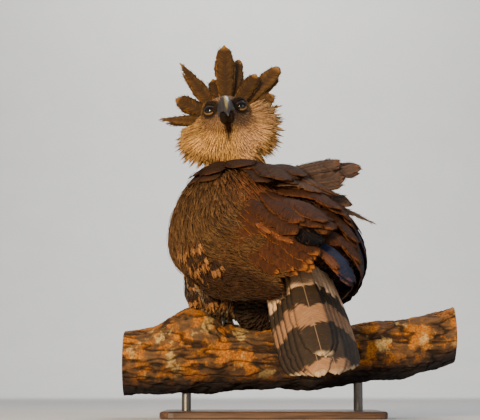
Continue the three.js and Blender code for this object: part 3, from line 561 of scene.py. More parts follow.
def scattered(points, spacing):
    """Which points to keep, in their order, so that each has its spacing round it"""
    cell = float(spacing.max())
    filled, kept = {}, []
    around = [(i, j, k) for i in (-1, 0, 1) for j in (-1, 0, 1) for k in (-1, 0, 1)]
    for index, (p, gap) in enumerate(zip(points.tolist(), spacing.tolist())):
        x, y, z = [int(value // cell) for value in p]
        near = [q for i, j, k in around for q in filled.get((x + i, y + j, z + k), ())]
        if all((p[0] - q[0]) ** 2 + (p[1] - q[1]) ** 2 + (p[2] - q[2]) ** 2 >= gap * gap for q in near):
            filled.setdefault((x, y, z), []).append(p)
            kept.append(index)
    return np.array(kept)


# Where colours are on the bird


def body_place(points):
    """f and angle of points near the body"""
    side, f, height = body_axes.of(points)
    half, top, bottom = wing_section(np.clip(f, -200, 176))
    return f, np.arctan2(side / half, (height - (top + bottom) / 2) / ((top - bottom) / 2))


def colour(red, green, blue):
    """A colour given from 0 to 255, as light"""
    value = vec(red, green, blue) / 255
    return np.where(value <= 0.04045, value / 12.92, ((value + 0.055) / 1.055) ** 2.4)


MANTLE_BROWN = colour(84, 56, 37)
OLIVE_BROWN = colour(116, 84, 52)
RUFOUS = colour(168, 96, 56)
DARK_BROWN = colour(46, 34, 28)
# a blue-grey used as painted shade, on the right wing and the thighs
SHADE_SLATE = colour(44, 52, 74)
BUFF = colour(186, 140, 84)
CREAM = colour(206, 180, 144)
GOLD = colour(230, 174, 100)
PINK_BROWN = colour(212, 164, 128)
NAPE_BROWN = colour(74, 50, 34)


def shaded(tint, strength, points, size, seed):
    return tint * (1 + strength * noise(points, size, seed, 2))[..., None]


def body_tint(points):
    f, angle = body_place(points)
    degrees = angle / DEGREE
    side = np.abs(degrees)
    left = 1 - smooth(-42, -10, degrees)
    tint = mix(MANTLE_BROWN, OLIVE_BROWN, 0.9 * left)
    tint = mix(tint, RUFOUS, 0.75 * bump(f, -80, 60) * bump(degrees, -16, 14))
    tint = mix(tint, RUFOUS * 0.8, 0.45 * bump(f, -10, 50) * bump(degrees, -20, 12))
    tint = mix(tint, NAPE_BROWN, smooth(96, 150, f) * (1 - smooth(70, 100, side)))
    # Painted bluish shade on the right wing's lower rear.
    tint = mix(tint, SHADE_SLATE, 0.85 * smooth(44, 74, degrees) * (1 - smooth(-60, 20, f)))
    tint = mix(tint, CREAM * 0.8, smooth(112, 136, side))
    pale = smooth(0.1, 0.5, noise(points, 30, 6, 2)) * left * bump(f, -70, 70)
    tint = mix(tint, BUFF * 0.75, 0.45 * pale)
    # Painted shade along the lower edge of the left flank's rear.
    low_rear_shade = smooth(76, 92, side) * (1 - smooth(-92, -50, f)) * (degrees < 0)
    tint = mix(tint, DARK_BROWN, 0.8 * low_rear_shade)
    # Painted shade on the lowest feathers, just over the limb.
    perch_shade = (1 - smooth(205, 240, points[..., 2])) * (points[..., 1] < 60)
    tint = mix(tint, DARK_BROWN, 0.8 * perch_shade)
    return shaded(tint, 0.2, points, 36, 3)


def head_tint(points):
    side, ahead, up = head_axes.of(points)
    far = np.hypot(side, up + 6)
    tint = mix(GOLD, PINK_BROWN, 0.75 * (1 - smooth(30, 62, far)) * smooth(-20, 10, ahead))
    tint = mix(tint, PINK_BROWN, 0.5 * smooth(8, 40, -side) * smooth(-44, -10, up))
    tint = mix(tint, OLIVE_BROWN, 0.7 * (1 - smooth(-34, -4, ahead)))
    # Painted highlight: the lower cheeks are made much lighter than the face, for the low warm light on them.
    low = mix(GOLD * 1.8, PINK_BROWN * 2.2, 0.5 * smooth(2, 30, -side))
    tint = mix(tint, low, smooth(-14, -46, up) * smooth(-6, 14, ahead))
    # A dark ring round each eye: partly its dark feathers, partly painted shade under the brow.
    eye_gap = np.hypot(np.abs(side) - 29, (up - 9) * 0.9)
    tint = mix(tint, DARK_BROWN * 0.7, 0.95 * (1 - smooth(14, 22, eye_gap)) * smooth(8, 22, ahead))
    # A dark wedge on the throat under the bill: darker throat feathers and painted shadow of the bill.
    throat_and_bill_shadow = (1 - smooth(4, 13, np.abs(side - 1) + (np.clip(-up - 20, 0, 60)) * 0.16)) * smooth(-62, -50, up)
    tint = mix(tint, DARK_BROWN, 0.85 * throat_and_bill_shadow * (1 - smooth(-16, -8, up)) * smooth(0, 14, ahead))
    return shaded(tint, 0.14, points, 16, 9)


def neck_tint(points):
    """The head's colours, which change to the body's away from the head"""
    gap = np.linalg.norm(points - vec(*HEAD_CENTRE), axis=1)
    return mix(head_tint(points), body_tint(points), smooth(30, 90, gap - 30))


def leg_tint(points):
    bars = smooth(-0.3, 0.3, np.sin(points[..., 2] * 0.33 + noise(points, 30, 4) * 2))
    tint = mix(CREAM * 0.8, BUFF * 0.6, 0.6 * bars)
    # Painted shade: the thighs darken towards the body above them.
    tint = mix(tint, mix(DARK_BROWN, SHADE_SLATE, 0.3), 0.9 * smooth(205, 250, points[..., 2]))
    return shaded(tint, 0.12, points, 20, 6)


def by_part(labels, head, neck, thigh, body):
    return np.select([labels == HEAD, labels == NECK, labels == THIGH], [head, neck, thigh], body)


def skin_tint(points, labels):
    body, head, leg = body_tint(points), head_tint(points), leg_tint(points)
    return by_part(labels[:, None], head, mix(head, body, 0.45), leg, body)


def bake_place(points):
    """An unwrap of the skin round an upright line: once round the bird, and from bottom to top"""
    around = np.arctan2(points[..., 0] + 40, -(points[..., 1] - 10)) / TURN + 0.5
    return stacked(0.02 + 0.96 * around, 0.02 + 0.96 * (points[..., 2] - 100) / 600)


# Flow of the feathers

FACE_MIDDLE = head_axes.at(0, 60, -4)
NECK_WAY = unit(-body_axes.ahead * 0.5 + vec(0, 0, -1))
LEG_WAY = unit(vec(0, 0.1, -1))


def face_reach(points):
    return np.linalg.norm(points - FACE_MIDDLE, axis=1)


def body_flow(points):
    f, angle = body_place(points)
    toward = body_point(np.clip(f - 4, -200, 180), angle) - body_point(np.clip(f, -200, 180), angle)
    hang = smooth(14, 60, -angle / DEGREE) * smooth(-110, -10, f)
    return unit(-body_axes.ahead * 0.3 + unit(toward) + vec(-0.3, 0, -1) * (1.1 * hang)[:, None])


def head_flow(points):
    _, ahead, _ = head_axes.of(points)
    hang = 0.2 + 0.9 * (1 - smooth(-50, -8, ahead)) * smooth(10, 60, face_reach(points))
    return unit(unit(points - FACE_MIDDLE) - head_axes.up * hang[:, None])


def grown(skin, roots, normals, flow, length, stations, draw, wander):
    """Spines that follow the skin from their roots along the flow: places on the skin, normals and shares"""
    share = np.linspace(0, 1, stations) ** 0.9
    place, normal = roots, normals
    jitter = draw.normal(0, wander, len(roots))
    spine, ups = [place], [normal]
    for step in np.diff(share):
        way = flow(place)
        way = unit(way - normal * dot(way, normal)[:, None])
        way = unit(way + np.cross(normal, way) * jitter[:, None])
        place, found = skin.nearest(place + way * (length * step)[:, None])
        normal = unit(found + normal * 0.5)
        spine.append(place)
        ups.append(normal)
    return np.stack(spine, 1), np.stack(ups, 1), share


# Half widths along a feather, as places from its root to its tip and shares of its width
OUTLINES = {
    "soft": ((0, 0.35), (0.3, 0.85), (0.6, 1), (0.85, 0.75), (1, 0.12)),
    "broad": ((0, 0.3), (0.2, 0.75), (0.5, 0.97), (0.8, 1), (0.93, 0.78), (0.98, 0.45), (1, 0.12)),
    "round": ((0, 0.4), (0.25, 0.85), (0.6, 1), (0.82, 0.88), (0.93, 0.62), (0.985, 0.3), (1, 0.08)),
    "long": ((0, 0.3), (0.2, 0.62), (0.5, 0.92), (0.78, 1), (0.9, 0.86), (0.97, 0.52), (1, 0.15)),
    "lance": ((0, 0.4), (0.3, 0.95), (0.55, 0.9), (0.8, 0.5), (1, 0.08)),
}


def outline_at(name, share):
    return np.interp(share, *np.transpose(OUTLINES[name]))


def varied(tint, draw, count, spread, middle=1.0, low=0.0, high=9.0):
    """A tint for each feather, some lighter and some darker"""
    return tint * draw.normal(middle, spread, count)[:, None].clip(low, high)


# Small feathers on the skin

COAT_FACES = 195000  # the most in one piece
COAT_SAMPLES = 170000  # places tried for feathers, over the whole skin
ROOT_DEPTH = 1.2  # how far a small feather's root lies under the skin


class Coat:
    """Small feathers of one part of the bird. Length, width and lift are numbers or functions of places."""

    def __init__(
        self, slot, length, width, lift, rim, flow, tint, centre=0.0, stations=5, wander=0.12, spread=0.1
    ):
        self.slot, self.length, self.width, self.lift = slot, length, width, lift
        self.rim, self.centre, self.flow, self.tint = rim, centre, flow, tint
        self.stations, self.wander, self.spread = stations, wander, spread

    def grow(self, skin, name, material, roots, normals, seed):
        """Feathers from their roots, as one piece or more"""
        count = len(roots)
        draw = np.random.default_rng(seed)
        length, width, lift = [x(roots) if callable(x) else x for x in (self.length, self.width, self.lift)]
        length = length * draw.uniform(0.8, 1.15, count)
        width = width * draw.uniform(0.85, 1.15, count)
        spine, ups, share = grown(skin, roots, normals, self.flow, length, self.stations, draw, self.wander)
        lift = lift * draw.uniform(0.75, 1.2, count)
        rise = -ROOT_DEPTH + (lift[:, None] + ROOT_DEPTH) * share**0.85
        spine = spine + ups * rise[..., None]
        half = width[:, None] / 2 * outline_at("soft", share)
        tint = varied(self.tint(spine[:, len(share) // 2]), draw, count, self.spread, 1, 0.6, 1.4)
        marks = stacked(self.rim, self.centre, draw.random(count))
        parts = max(1, ceil(count / (COAT_FACES // ((self.stations - 1) * 8 + 4))))
        order = np.argsort(roots[:, 2], kind="stable")
        for k, chosen in enumerate(np.array_split(order, parts)):
            thick = 0.5 * (1 - 0.7 * share**3)
            spines, ways_up, halves, tints, own_marks = [x[chosen] for x in (spine, ups, half, tint, marks)]
            vanes = Vanes(4)
            vanes.add(spines, ways_up, halves, thick, tints, own_marks, camber=0.12)
            vanes.make(name + (f"_{k + 1}" if parts > 1 else ""), self.slot, material)


# Slot, length, width, lift at the tip, how much the rim shows, flow, tint
COATS = {
    "face_coat": Coat(
        "face_feathers",
        lambda p: np.interp(face_reach(p), [14, 40, 80, 110], [5.5, 9, 17, 21]),
        lambda p: np.interp(face_reach(p), [14, 40, 80], [2.0, 2.6, 3.6]),
        lambda p: np.interp(face_reach(p), [14, 40, 80], [1.2, 2.2, 4]),
        0.25, head_flow, head_tint, wander=0.1, spread=0.12,
    ),
    "nape_coat": Coat("face_feathers", 21, 6.5, 3, 0.4, head_flow, head_tint),
    "neck_coat": Coat("body_feathers", 26, 8, 3.5, 0.4, lambda p: NECK_WAY, neck_tint),
    "back_coat": Coat("body_feathers", 34, 10, 4.2, 0.35, body_flow, body_tint, centre=0.25, spread=0.14),
    "wing_coat": Coat("body_feathers", 34, 11, 3.6, 0.35, body_flow, body_tint, centre=0.25, spread=0.14),
    "flank_coat": Coat(
        "body_feathers", 48,
        lambda p: 3.4 + 6 * smooth(0.1, 0.5, noise(p, 7, 31)),
        lambda p: 2.4 + 0.8 * noise(p, 22, 32),
        0.15, body_flow, body_tint, stations=6, wander=0.09, spread=0.24,
    ),
    "belly_coat": Coat("body_feathers", 28, 9, 4, 0.1, body_flow, body_tint),
    "leg_coat": Coat(
        "leg_feathers",
        lambda p: np.interp(p[:, 2], [180, 240], [15, 24]),
        6.5, 3, 0.1, lambda p: LEG_WAY, leg_tint,
    ),
}


def spacing_of(points, labels):
    """Room round each feather's root, in millimetres"""
    _, ahead, _ = head_axes.of(points)
    _, angle = body_place(points)
    under = smooth(100, 125, np.abs(angle) / DEGREE)
    left = smooth(6, 20, -angle / DEGREE) * (1 - under)
    return by_part(labels, np.where(ahead > 0, 2.9, 3.9), 5.2, 5.6, 6.4 - 0.6 * under - 1.9 * left)


def near_face_parts(points):
    """Places that stay bare: the bill, and the eyes with their lids"""
    side, ahead, up = head_axes.of(points)
    bill = (ahead > 44) & (np.abs(side) < 17) & (up < 22) & (up > -34)
    gaps = [np.linalg.norm(points - eye_centre(s), axis=1) < EYE_RADIUS + 1.5 for s in (-1, 1)]
    return bill | gaps[0] | gaps[1]


def coat_names(points, labels):
    """Which coat covers each place"""
    degrees = body_place(points)[1] / DEGREE
    side = np.abs(degrees)
    _, ahead, _ = head_axes.of(points)
    where = [side > 112, degrees < -12, side > 46]
    body = np.select(where, ["belly_coat", "flank_coat", "wing_coat"], "back_coat")
    return by_part(labels, np.where(ahead > -12, "face_coat", "nape_coat"), "neck_coat", "leg_coat", body)


def coats(skin, material):
    sample = skin.sample(COAT_SAMPLES, 11)
    kept = scattered(sample[0], spacing_of(sample[0], sample[2]))
    kept = kept[~near_face_parts(sample[0][kept])]
    points, normals, labels = [values[kept] for values in sample]
    names = coat_names(points, labels)
    for number, (name, kind) in enumerate(COATS.items()):
        chosen = names == name
        kind.grow(skin, name, material, points[chosen], normals[chosen], 200 + number)


# Large feathers


def laid(place, f, angle, length, drift, lift, stations):
    """Spines laid on a surface from their roots to the rear: points and ways out, for arrays of feathers"""
    share = np.linspace(0, 1, stations)
    spine, ups = [], []
    for i, rise in enumerate(lift[0] + (lift[1] - lift[0]) * share**0.8):
        point, out, rear, around = frame_at(place, f, angle)
        spine.append(point + out * rise)
        ups.append(out)
        if i + 1 < stations:
            run = length * (share[i + 1] - share[i])
            f = f - run * np.cos(drift) / np.maximum(np.linalg.norm(rear, axis=-1), 1)
            angle = angle + run * np.sin(drift) / np.maximum(np.linalg.norm(around, axis=-1), 20)
    return np.stack(spine, 1), np.stack(ups, 1)


def freed(root, way, out, length, bend, stations):
    """Spines that leave their roots and bend as they go, for arrays of feathers"""
    share = np.linspace(0, 1, stations)[None, :, None]
    root, way, out = [np.atleast_2d(x)[:, None] for x in (root, way, out)]
    length, bend = [np.atleast_1d(x)[:, None, None] for x in (length, bend)]
    spine = root + way * length * share + out * bend * length * share**2
    return spine, np.broadcast_to(out, spine.shape)


def ragged(spine, outline, width, draw, rough=0.05, notches=2, depth=0.35):
    """Half widths of each feather's two sides, with ruffled edges and a few splits where barbs have parted"""
    count, stations = spine.shape[:2]
    share = np.linspace(0, 1, stations)
    base = outline_at(outline, share)[None, :, None] * np.atleast_1d(width)[:, None, None] / 2
    wave = draw.normal(0, rough, (count, stations, 2))
    split = np.zeros((count, stations, 2))
    for _ in range(notches):
        place = draw.uniform(0.35, 0.97, (count, 1, 2))
        strong = draw.uniform(0, depth, (count, 1, 2))
        draw.random((count, 1, 2))  # not used: it keeps the later draws in their places
        split = np.maximum(split, strong * np.exp(-(((share[None, :, None] - place) * stations / 0.8) ** 2)))
    return base * (1 + wave) * (1 - split)


def rolled(spine, ups, roll):
    across = unit(np.cross(unit(np.gradient(spine, axis=1)), ups))
    turn = roll[:, None, None]
    return unit(ups * np.cos(turn) + across * np.sin(turn))


def tip_drags(spine, sides, draw, amount, start=0.86):
    """Moves of the section's points along a feather near its tip, which fray it"""
    count, stations = spine.shape[:2]
    fray = draw.uniform(-1, 1, (count, 1, sides))
    mirrored = fray[..., -np.arange(sides)]
    return smooth(start, 1, np.linspace(0, 1, stations))[None, :, None] * (fray + mirrored) * 0.5 * amount


def fringe(loose, blades, draw, count, length, start=0.4):
    """Loose barbs that stand out along the edges and the tip of each blade, gathered in other vanes"""
    spine, ups, half, tint, marks = blades
    stations = spine.shape[1]
    total = len(spine) * count
    blade = np.repeat(np.arange(len(spine)), count)
    share = 1 - (1 - start) * draw.random(total) ** 1.5
    low = np.minimum((share * (stations - 1)).astype(int), stations - 2)
    part = share * (stations - 1) - low
    side = draw.choice([0, 1], total)
    reach = half[blade, low, side] * (1 - part) + half[blade, low + 1, side] * part
    ahead, out = unit(np.gradient(spine, axis=1))[blade, low], ups[blade, low]
    across = unit(np.cross(ahead, out)) * (side * 2 - 1)[:, None]
    inward = np.where(share > 0.95, draw.uniform(0, 0.9, total), draw.uniform(0.8, 0.95, total))
    root = mix(spine[blade, low], spine[blade, low + 1], part)
    root = root + across * (inward * reach)[:, None] - ahead * 2
    splay = (1 - smooth(0.93, 1, share)) * draw.uniform(0.3, 0.65, total)
    heading = unit(ahead + across * splay[:, None] - out * 0.12)
    size = length * draw.uniform(0.5, 1.15, total)
    barbs, rise = freed(root, heading, out, size, draw.normal(-0.05, 0.08, total), 4)
    thin = draw.uniform(0.35, 0.75, (total, 1)) * vec(1, 0.9, 0.6, 0.15)
    loose.add(barbs, rise, thin, 0.4, varied(tint[blade], draw, total, 0.18, 1.1, 0.6, 1.6), marks[blade])


# Rows of the folded wings: count, f and angle and length at the row's upper and lower end, width, lift at the
# root and at the tip. The left wing's coverts are hidden under its long silky flank feathers.
COVERT_ROWS = [
    (8, (92, 76), (62, 112), (62, 54), 30, (-4, 4)),
    (9, (56, 36), (62, 114), (72, 62), 32, (-4, 4.5)),
    (9, (16, -6), (60, 116), (84, 72), 34, (-4, 5)),
    (8, (-26, -44), (60, 116), (100, 84), 38, (-4.5, 5.5)),
    (7, (-66, -76), (62, 116), (112, 96), 42, (-5, 6.5)),
]
FLIGHT_ROWS = {
    1: [
        (9, (-98, -88), (50, 100), (158, 184), 46, (-6, 3)),
        (6, (-106, -88), (103, 126), (180, 202), 34, (-11, -5)),
    ],
    -1: [
        (9, (-98, -88), (50, 100), (158, 184), 40, (-9, -4)),
        (6, (-106, -88), (103, 126), (180, 202), 34, (-12, -6)),
    ],
}
ROW_ROLL = 4 * DEGREE


def wing_rows(name, side, rows, outline, centre, seed, material):
    draw = np.random.default_rng(seed)
    vanes = Vanes(16)
    for count, f, angle, length, width, lift in rows:
        share = np.linspace(0, 1, count)
        spread = draw.uniform(-0.5, 0.5, (3, count))
        f = np.interp(share, (0, 1), f) + spread[0] * 12
        angle = side * np.interp(share, (0, 1), angle) * DEGREE
        length = np.interp(share, (0, 1), length) * (1 + spread[1] * 0.14)
        spine, ups = laid(wing_point, f, angle, length, draw.normal(0, 0.035, count), lift, 26)
        vanes.add(
            spine,
            rolled(spine, ups, side * ROW_ROLL + draw.normal(0, 0.03, count)),
            ragged(spine, outline, width * (1 + spread[2] * 0.12), draw),
            thick=1.1 * (1 - 0.6 * np.linspace(0, 1, 26) ** 4),
            tint=varied(body_tint(spine[:, 13]), draw, count, 0.1),
            marks=stacked(0.3, centre, draw.random(count)),
            camber=0.14,
            drags=tip_drags(spine, 16, draw, 5),
        )
    vanes.make(name, "body_feathers", material, atlas=True)


SHADES = {
    "gilt": colour(82, 47, 26),
    # a bright orange for small feathers that are painted spots of light
    "lit_spot": colour(142, 82, 44),
    # a near-black sheet of painted shade in the hollow under the lobes
    "hollow": colour(3, 3, 3),
    "umber": colour(82, 50, 31),
    "fawn": colour(104, 76, 58),
    "plum": colour(80, 49, 32),
    "pink": colour(120, 72, 48),
    # a blue-grey for plates in painted bluish shade
    "shade_slate": colour(38, 50, 78),
    "nape": colour(72, 50, 36),
    "buff": colour(114, 80, 50),
    "rosette": colour(50, 34, 25),
}
# Broad feathers one by one: f and angle of the root and of the tip, width, lift at the root and at the tip
LOBES = [
    # The first, near-black plate is a sheet of painted shade.
    (-128, -15, -238, -7, 56, 2, 11, "hollow"), (-67, -25, -206, -20, 52, -3, 13, "umber"),
    (-56, -18, -194, 3, 58, -3, 14, "umber"), (-40, -14, -178, -10, 58, -3, 15, "plum"),
    (-26, -9, -182, 7, 68, -3, 17, "plum"), (-12, 0, -119, 27, 58, -3, 18, "plum"),
    (19, -2, -63, 18, 50, -3, 14, "fawn"), (41, 6, -41, 34, 48, -3, 16, "fawn"),
]
# Long rufous feathers with golden rims, under the lobes and over the tail's root, and small bright orange
# ones that are painted spots of light on the roots of the lobes
GILT = [
    (-130, -58, -252, -74, 26, -2, 3.5, "gilt"), (-124, -48, -270, -60, 28, -1, 5, "gilt"),
    (-114, -41, -282, -44, 32, 0, 6.5, "gilt"), (-104, -37, -276, -29, 34, 1, 8, "gilt"),
    (-92, -32, -262, -15, 38, 1, 9.5, "gilt"), (-146, -37, -182, -36, 11, 6, 8, "lit_spot"),
    (-160, -33, -196, -33, 12, 6, 8, "lit_spot"), (-176, -37, -212, -33, 10, 7, 9, "lit_spot"),
    (-186, -33, -222, -29, 11, 7, 9, "lit_spot"),
]
# Scallops of the right wing; the blue-grey ones are painted bluish shade.
SCALLOPS = [
    (-222, -7, -290, 7, 26, -2, 3, "pink"), (-210, 2, -319, 39, 40, -4, 3, "shade_slate"),
    (-159, 10, -241, 53, 46, -4, 6, "plum"), (-90, 18, -189, 42, 50, -4, 8, "plum"),
    (16, 29, -123, 36, 50, -4, 10, "plum"), (-145, 36, -206, 80, 40, -4, 3, "shade_slate"),
    (-42, 44, -174, 68, 40, -4, 5, "shade_slate"), (4, 42, -105, 56, 38, -4, 6, "plum"),
]
NAPE_PLATES = [
    (132, -40, 84, -50, 44, -4, 6, "nape"), (134, -27, 46, -38, 56, -4, 8, "nape"),
    (132, -12, 32, -18, 64, -4, 12, "nape"), (123, -1, -26, -6, 56, -4, 14, "nape"),
    (118, 9, -8, 12, 56, -4, 15, "nape"), (127, 3, -38, -1, 60, -4, 16, "nape"),
    (116, 24, 20, 30, 50, -4, 12, "nape"), (112, 38, 40, 52, 44, -4, 8, "nape"),
]


def plates(name, table, material, seed, loose, notches=3, fray=6, rim=0.28):
    """Broad feathers laid one by one, each over a narrower neighbour that shows at its edge"""
    draw = np.random.default_rng(seed)
    vanes = Vanes(16)
    share = np.linspace(0, 1, 34)
    for f0, a0, f1, a1, width, low, high, shade in table:
        for twin in range(2):
            aside = twin * draw.choice([-1, 1]) * draw.uniform(3, 6)
            f = f0 + (f1 - twin * draw.uniform(4, 12) - f0) * share
            angle = (a0 + aside + (a1 - a0) * share) * DEGREE
            wing, out, _, _ = frame_at(wing_point, f, angle)
            under, under_out, _, _ = frame_at(body_point, np.clip(f, -184, 180), angle)
            spine = mix(under, wing, smooth(0.05, 0.6, share))
            out = unit(mix(under_out, out, smooth(0.05, 0.6, share)))
            rise = low - 2 * twin + (high - 3 * twin - low) * share**0.8
            spine = (spine + out * rise[:, None])[None]
            blades = vanes.add(
                spine,
                rolled(spine, out[None], draw.normal(0, 0.05, 1)),
                ragged(spine, "broad", width * (0.9 if twin else 1), draw, 0.045, notches, 0.3),
                thick=1.2,
                tint=varied(SHADES[shade], draw, 1, 0.06),
                # The near-black plate is painted shade, so it has no pale rim.
                marks=stacked(0 if shade == "hollow" else rim, 0.12, draw.random(1)),
                camber=0.15,
                drags=tip_drags(spine, 16, draw, fray),
            )
            fringe(loose, blades, draw, 24 if twin else 48, 7)
    vanes.make(name, "body_feathers", material, atlas=True)


# Ragged tufts on the left flank and under it: f and angle of the root and of the tip, width, shade
ROSETTES = [
    (-58, -81, -78, -93, 22, "buff"), (-78, -76, -96, -88, 22, "buff"), (-42, -86, -61, -98, 20, "buff"),
    (-103, -84, -124, -95, 26, "rosette"), (-135, -86, -153, -99, 28, "rosette"),
    (-162, -92, -160, -110, 28, "rosette"), (-142, -114, -134, -132, 30, "rosette"),
    (-150, -102, -136, -120, 30, "buff"), (-89, -92, -106, -106, 24, "rosette"),
    (-122, -96, -120, -111, 28, "rosette"), (-75, -90, -92, -102, 22, "rosette"),
    (-105, -128, -96, -146, 28, "rosette"), (-96, -112, -90, -130, 28, "rosette"),
    (-66, -104, -72, -120, 24, "rosette"), (-118, -110, -112, -128, 28, "rosette"),
    (-166, -78, -178, -92, 26, "rosette"),
]
# The same on the left thigh: x and z of the root, length, width, shade
THIGH_TUFTS = [
    (-150, 262, 30, 30, "rosette"), (-126, 258, 30, 28, "rosette"), (-104, 262, 30, 30, "buff"),
    (-82, 252, 32, 30, "rosette"), (-150, 236, 30, 28, "rosette"), (-124, 232, 30, 28, "rosette"),
    (-98, 236, 34, 28, "rosette"), (-72, 230, 34, 26, "rosette"), (-60, 250, 30, 26, "buff"),
]


def tuft_places(skin):
    """Root, way out, tip, width and shade of each tuft"""
    for f0, a0, f1, a1, width, shade in ROSETTES:
        point, out, _, _ = frame_at(body_point, vec(f0, f1), vec(a0, a1) * DEGREE)
        yield point[:1], out[:1], point[1:], width, shade
    for x, z, length, width, shade in THIGH_TUFTS:
        root, out, _, _ = skin.tree.ray_cast(vec(x, -400, z), vec(0, 1, 0))
        root, out = np.array([root]), np.array([out])
        way = vec(0.15, 0, -1)
        way = unit(way - out * dot(way, out)[:, None])
        yield root, out, root + way * length, width, shade


def rosettes(skin, material):
    """Tufts of narrow ragged feathers that spread from one root, dark below and pale at their tips"""
    draw = np.random.default_rng(164)
    vanes = Vanes(8)
    many, stations = 16, 11
    for root, out, tip, width, shade in tuft_places(skin):
        reach = np.linalg.norm(tip - root)
        aside = unit(np.cross(out, tip - root))
        place = draw.uniform(-1, 1, many)
        roots = root - out + aside * (place * width * 0.18)[:, None] + draw.normal(0, 1.2, (many, 3))
        level = draw.uniform(0.15, 1, many)
        heading = unit(unit(tip - root) + aside * (place * 0.75)[:, None] + out * (0.5 * level)[:, None])
        size = reach * (1.15 - 0.3 * np.abs(place)) * draw.uniform(0.75, 1.12, many)
        spine, ups = freed(roots, heading, out, size, -0.26, stations)
        vanes.add(
            spine,
            rolled(spine, ups, draw.normal(0, 0.3, many)),
            ragged(spine, "round", width * draw.uniform(0.28, 0.46, many), draw, 0.14, 4, 0.5),
            thick=0.6 * (1 - 0.6 * np.linspace(0, 1, stations) ** 3),
            tint=varied(SHADES[shade], draw, many, 0.15, 1, 0.6, 1.4),
            marks=stacked(draw.uniform(0.35, 0.95, many), 0.2, draw.random(many)),
            camber=0.12,
            drags=tip_drags(spine, 8, draw, 4, 0.7),
        )
    vanes.make("rosettes", "body_feathers", material)


def strands(name, slot, material, *lines, **looks):
    """A piece of one batch of narrow blades"""
    vanes = Vanes(4)
    vanes.add(*lines, **looks)
    vanes.make(name, slot, material)


SILK = {"f": (-90, -236), "angle": (-124, -34), "count": 2300, "length": 38, "width": 3.2}


def silk(material):
    """Narrow feathers over the left wing's rear end, which carry the flank's coat on to the tail"""
    draw = np.random.default_rng(167)
    count, stations = SILK["count"], 7
    f = SILK["f"][0] + (SILK["f"][1] - SILK["f"][0]) * draw.random(count)
    angle = draw.uniform(*SILK["angle"], count) * DEGREE
    length = SILK["length"] * draw.uniform(0.7, 1.15, count)
    share = np.linspace(0, 1, stations)
    spine, ups = laid(wing_point, f, angle, length, draw.normal(0.05, 0.14, count), (-6.5, 0.8), stations)
    spine = spine + ups * (draw.normal(0, 0.9, (count, 1)) * share)[..., None]
    strands(
        "flank_silk", "body_feathers", material,
        spine,
        rolled(spine, ups, draw.normal(0, 0.3, count)),
        SILK["width"] / 2 * draw.uniform(0.8, 1.3, (count, 1)) * outline_at("soft", share),
        thick=0.5,
        tint=varied(body_tint(spine[:, stations // 2]), draw, count, 0.28, 1, 0.45, 1.6),
        marks=stacked(0.3, 0, draw.random(count)),
        camber=0.12,
    )


HAIRS = 560


def hairs(skin, material):
    """Fine pale filaments that stray over the left flank and the lower back"""
    draw = np.random.default_rng(171)
    points, normals, labels = skin.sample(9000, 172)
    f, angle = body_place(points)
    degrees = angle / DEGREE
    dense = draw.random(len(f)) < 0.3 + 0.7 * (1 - smooth(-90, -20, f))
    where = (labels == BODY) & (degrees < -16) & (degrees > -104) & (f < 110) & dense
    points, normals = points[where][:HAIRS], normals[where][:HAIRS]
    count = len(points)
    spine, ups, share = grown(skin, points, normals, body_flow, draw.uniform(28, 62, count), 10, draw, 0.26)
    rise = -1 + 6.5 * np.sin(share[None] * pi * 0.6) * draw.uniform(0.8, 1.2, (count, 1))
    strands(
        "stray_filaments", "body_feathers", material,
        spine + ups * rise[..., None],
        ups,
        draw.uniform(0.35, 0.7, (count, 1)) * outline_at("soft", share),
        thick=0.4,
        tint=mix(colour(146, 102, 56), colour(206, 164, 112), draw.random(count)),
        marks=stacked(0, 0, draw.random(count)),
    )


# Groups of back feathers that the wind lifts: root, tip and way out of the group, width, how many
WINDBLOWN = [
    ((-2, 12, 468), (136, 14, 502), (-0.15, -0.66, 0.74), 42, 4),
    ((36, 14, 458), (173, 6, 490), (-0.15, -0.66, 0.74), 52, 4),
    ((44, -10, 448), (142, -30, 462), (-0.1, -0.72, 0.7), 50, 4),
    ((74, 0, 430), (152, -8, 414), (0.2, -0.8, 0.55), 38, 3),
    ((92, 2, 424), (198, -14, 376), (0.3, -0.75, 0.6), 15, 1),
]


def windblown(material, loose):
    """Back feathers of the right wing that the wind lifts clear of the body"""
    draw = np.random.default_rng(71)
    vanes = Vanes(16)
    for root, tip, out, width, many in WINDBLOWN:
        root, tip, out = vec(*root), vec(*tip), unit(vec(*out))
        aside = unit(np.cross(tip - root, out))
        place = np.linspace(-0.5, 0.5, many)[:, None] if many > 1 else np.zeros((1, 1))
        roots = root + aside * (place * width * 0.5) + draw.normal(0, 2, (many, 3))
        tips = tip + aside * (place * width * 0.62) - unit(tip - root) * np.abs(place) * 16
        way = tips - out * (np.abs(place) * 5) - roots
        outline, width = ("broad", width * 0.62) if many > 1 else ("lance", width)
        spine, ups = freed(roots, unit(way), out, np.linalg.norm(way, axis=1), -0.02, 28)
        blades = vanes.add(
            spine,
            rolled(spine, ups, draw.normal(0, 0.12, many)),
            ragged(spine, outline, width, draw, 0.05, 3, 0.4),
            thick=1.0,
            tint=varied(colour(98, 78, 66), draw, many, 0.15, 1.1),
            marks=stacked(0.25, 0.4, draw.random(many)),
            camber=0.13,
            drags=tip_drags(spine, 16, draw, 6),
        )
        fringe(loose, blades, draw, 50, 9)
    vanes.make("windblown", "body_feathers", material, atlas=True)


RUMP_LAYERS = [(-96, 60, 7), (-114, 66, 10), (-130, 70, 12)]  # place, length, depth of the roots


